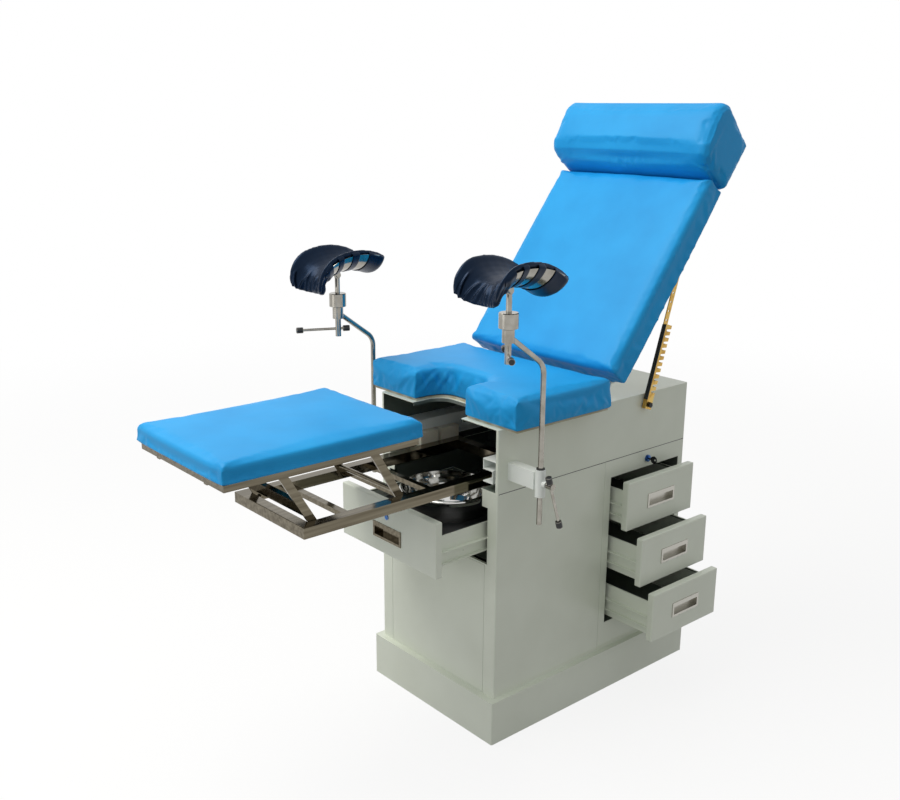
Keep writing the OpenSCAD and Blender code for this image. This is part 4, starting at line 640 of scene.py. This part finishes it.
# Head pillow: its crown stands a little higher towards the head end
crown_rise, crown_from_share, crown_lean = 0.014, 0.35, 0.4
pillow = copied("head_pillow", "pillow_cover")
pillow_up = [(p.co - hinge).dot(up_pan) for p in pillow.data.vertices]
pillow_off = [above_pan(p.co) for p in pillow.data.vertices]
low_up, span_up, span_off = min(pillow_up), max(pillow_up) - min(pillow_up), max(pillow_off)
for point, up, off in zip(pillow.data.vertices, pillow_up, pillow_off):
    rise = max(0, (up - low_up) / span_up - crown_from_share) / (1 - crown_from_share)
    rise *= max(0, off / span_off)
    lift = crown_rise * math.sin(min(rise, 1) * math.pi / 2)
    point.co += (up_pan * crown_lean + off_pan) * lift
near_up, crown = low_up * 1000, span_off * 1000
across_pan = Vector((1, 0, 0))
pillow_folds = []
for sign in (-1, 1):
    inward = Vector((-sign, 0, 0))
    pillow_folds += [
        *gathered(on_pan(sign * 270, near_up + 4, crown * 0.45), off_pan, (up_pan, inward), 2.4),
        (on_pan(sign * 258, near_up + 30, crown * 0.8), up_pan * 0.6 + off_pan, 34, 7, 1.8),
        (on_pan(sign * 268, near_up + 60, crown * 0.75), up_pan, 46, 6, 2.0),
        (on_pan(sign * 150, near_up + 8, crown * 0.6), across_pan, 60, 9, 1.6),
        (on_pan(sign * 40, near_up + 12, crown * 0.7), across_pan, 70, 9, -1.2)]
upholster(pillow, 5, lambda p: above_pan(p) < pan_tack, pillow_folds)
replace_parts(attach(pillow, "backrest"), "head_pillow")

# Crutch pads

# Each knee crutch is padded with foam in thin black leather. The cover is drawn over both
# ends of the steel plate as pockets, gathered where it curls down at the foot end, and two
# sewn straps hold it under the plate.

# The blue specular and sheen tints are painted reflection, a bluish gleam for the blue cushions mirrored
# in the leather
leather, nodes, shader, where = finish("black_leather", "#090f19", roughness=0.3,
                                       Specular_IOR_Level=0.34, Specular_Tint=srgb("#86b0ee"),
                                       Sheen_Weight=0.08, Sheen_Tint=srgb("#4f8ce0"))
tint(nodes, shader, clouds(nodes, where, mm=30, detail=3), (0.3, "#070c14"), (0.7, "#0d1724"))
grain = add(nodes, "TexVoronoi", {"Vector": where, "Scale": per(1.8)}, feature="DISTANCE_TO_EDGE")
dent(nodes, shader, grain.outputs["Distance"], depth_mm=0.25, strength=0.35)

# The trough, measured from its tilt pin: radius across the leg, padding, and the two arches
# along it, a wide one to the head and a tight one to the foot
trough_r, pad_t, arch_r, foot_arch_r = 0.070, 0.014, 0.174, 0.039
arch_y, arch_z = -0.027, -0.1606
head_end, foot_end = math.radians(43), math.radians(82)
head_corner, foot_corner = 0.2, 0.34
shell_r = trough_r + pad_t


def on_trough(away):
    """Angles along the arch and across the trough of a point measured from the tilt pin."""
    y, z = away.y - arch_y, away.z - arch_z
    if y < 0:
        z -= arch_r - foot_arch_r
    reach = (foot_arch_r if y < 0 else arch_r) + shell_r
    return math.atan2(y, z), math.atan2(away.x, reach - math.hypot(y, z))


def from_trough(along, across, depth):
    """The point at these two angles and this depth below the trough's middle line."""
    foot = along < 0
    r = (foot_arch_r if foot else arch_r) + shell_r - depth * math.cos(across)
    up = arch_r - foot_arch_r if foot else 0
    return Vector((depth * math.sin(across), arch_y + r * math.sin(along),
                   arch_z + up + r * math.cos(along)))


def wrap(name, place, first, last, deep, rows):
    """A strip of leather that hugs a crutch from below, between two angles along it in degrees.

    deep gives its depth for an angle along it in radians and a share across it, -1 to 1."""
    half, columns, thick = 69, 56, 0.0012
    bpy.ops.object.select_all(action="DESELECT")
    bpy.ops.mesh.primitive_grid_add(x_subdivisions=columns, y_subdivisions=rows, size=2)
    band = bpy.context.object
    band.name = band.data.name = name
    for point in band.data.vertices:
        share, go = point.co.x, (point.co.y + 1) / 2
        along = math.radians(first + (last - first) * go)
        end, corner = (foot_end, foot_corner) if along < 0 else (head_end, head_corner)
        across = share * math.radians(half) * math.sqrt(1 - corner * (along / end) ** 2)
        depth = deep(along, share)
        along *= math.sqrt(1 - corner * share * share)
        point.co = place @ from_trough(along, across, depth)
    apply(band, "SOLIDIFY", thickness=thick, offset=0)
    apply(band, "SUBSURF", levels=1, render_levels=1)
    bpy.ops.object.shade_smooth()
    band.data.materials.append(leather)
    return band


def eased(x):
    """0 below 0, 1 above 1 and a smooth rise between."""
    x = min(max(x, 0), 1)
    return x * x * (3 - 2 * x)


def rolled_in(share, width=0.07):
    """0 on the rims, where the share is -1 or 1, and 1 a little inside, along a quarter circle."""
    e = min((1 - abs(share)) / width, 1)
    return math.sqrt(1 - (1 - e) ** 2)


# At their rims, pockets and straps lie this deep below the trough's middle line, and from
# there they swell out over the plate's underside. The head pocket's end is in degrees
pin_x, pin_y = 0.320, -0.430
plate_depth, pocket_swell, strap_swell, curl_tuck = 0.078, 0.0102, 0.0098, 0.005
pocket_end = 43.5
pad_cell, pleat_h, pleats = 0.003, 0.0068, 13


def head_depth(along, share):
    """Depth of the pocket over the plate's head end."""
    tip = rolled_in(along / math.radians(pocket_end), 0.12)
    return plate_depth + pocket_swell * rolled_in(share) * tip


def foot_depth(along, share):
    """Depth of the pocket over the plate's foot end, flatter where the arch curls down."""
    return plate_depth + (pocket_swell - curl_tuck * eased((-along - 0.55) / 0.2)) * rolled_in(share)


def strap_depth(along, share):
    """Depth of the straps."""
    return plate_depth + strap_swell * rolled_in(share)


for side, sign, pin_z, tilt, seed in (("right", 1, 1.16537, 6.5, 7), ("left", -1, 1.12137, 19, 11)):
    pin = Vector((sign * pin_x, pin_y, pin_z))
    place = Matrix.Translation(pin) @ Matrix.Rotation(math.radians(tilt), 4, "X")
    measured = place.inverted()
    pad = copied(f"{side}_crutch_pad", f"{side}_crutch_cover")
    pad.data.remesh_voxel_size = pad_cell
    bpy.ops.object.voxel_remesh()
    apply(pad, "SMOOTH", factor=0.5, iterations=8)

    # Pleats at the foot end, each with its place and width across, its lean, its share of the
    # height and where along the arch it starts, in radians. They run out before the rims
    chance = random.Random(seed)
    folds = [(-1.15 + 0.18 * k + chance.uniform(-0.06, 0.06), chance.uniform(0.03, 0.06),
              chance.uniform(-0.4, 0.4), chance.uniform(0.6, 1.1), chance.uniform(0.15, 0.7))
             for k in range(pleats)]
    normals = [v.normal.copy() for v in pad.data.vertices]
    for point, normal in zip(pad.data.vertices, normals):
        along, across = on_trough(measured @ point.co)
        lift = sum(size * eased((-along - start) / 0.5) *
                   math.exp(-abs((across - at - lean * (along + 1.2)) / wide) ** 1.5)
                   for at, wide, lean, size, start in folds)
        calm = 1 - 0.9 * eased((-along - foot_end + 0.3) / 0.26)
        calm *= 1 - 0.85 * eased((abs(across) - 0.86) / 0.22)
        point.co += normal * pleat_h * calm * (lift - 0.45 * eased((-along - 0.4) / 0.6))
    apply(pad, "SUBSURF", levels=1, render_levels=1)
    bpy.ops.object.shade_smooth()
    pad.data.materials.append(leather)
    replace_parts(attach(pad, f"{side}_crutch"), f"{side}_crutch_pad")

    # Pockets over the plate's two ends, and the straps from rim to rim between them
    for name, first, last, deep, rows in (
            ("head_pocket", 27, pocket_end, head_depth, 14), ("foot_pocket", -44, -18, foot_depth, 14),
            ("strap_1", -1, 4.5, strap_depth, 4), ("strap_2", 12, 18.5, strap_depth, 4)):
        band = wrap(f"{side}_{name}", place, first, last, deep, rows)
        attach(band, f"{side}_crutch")
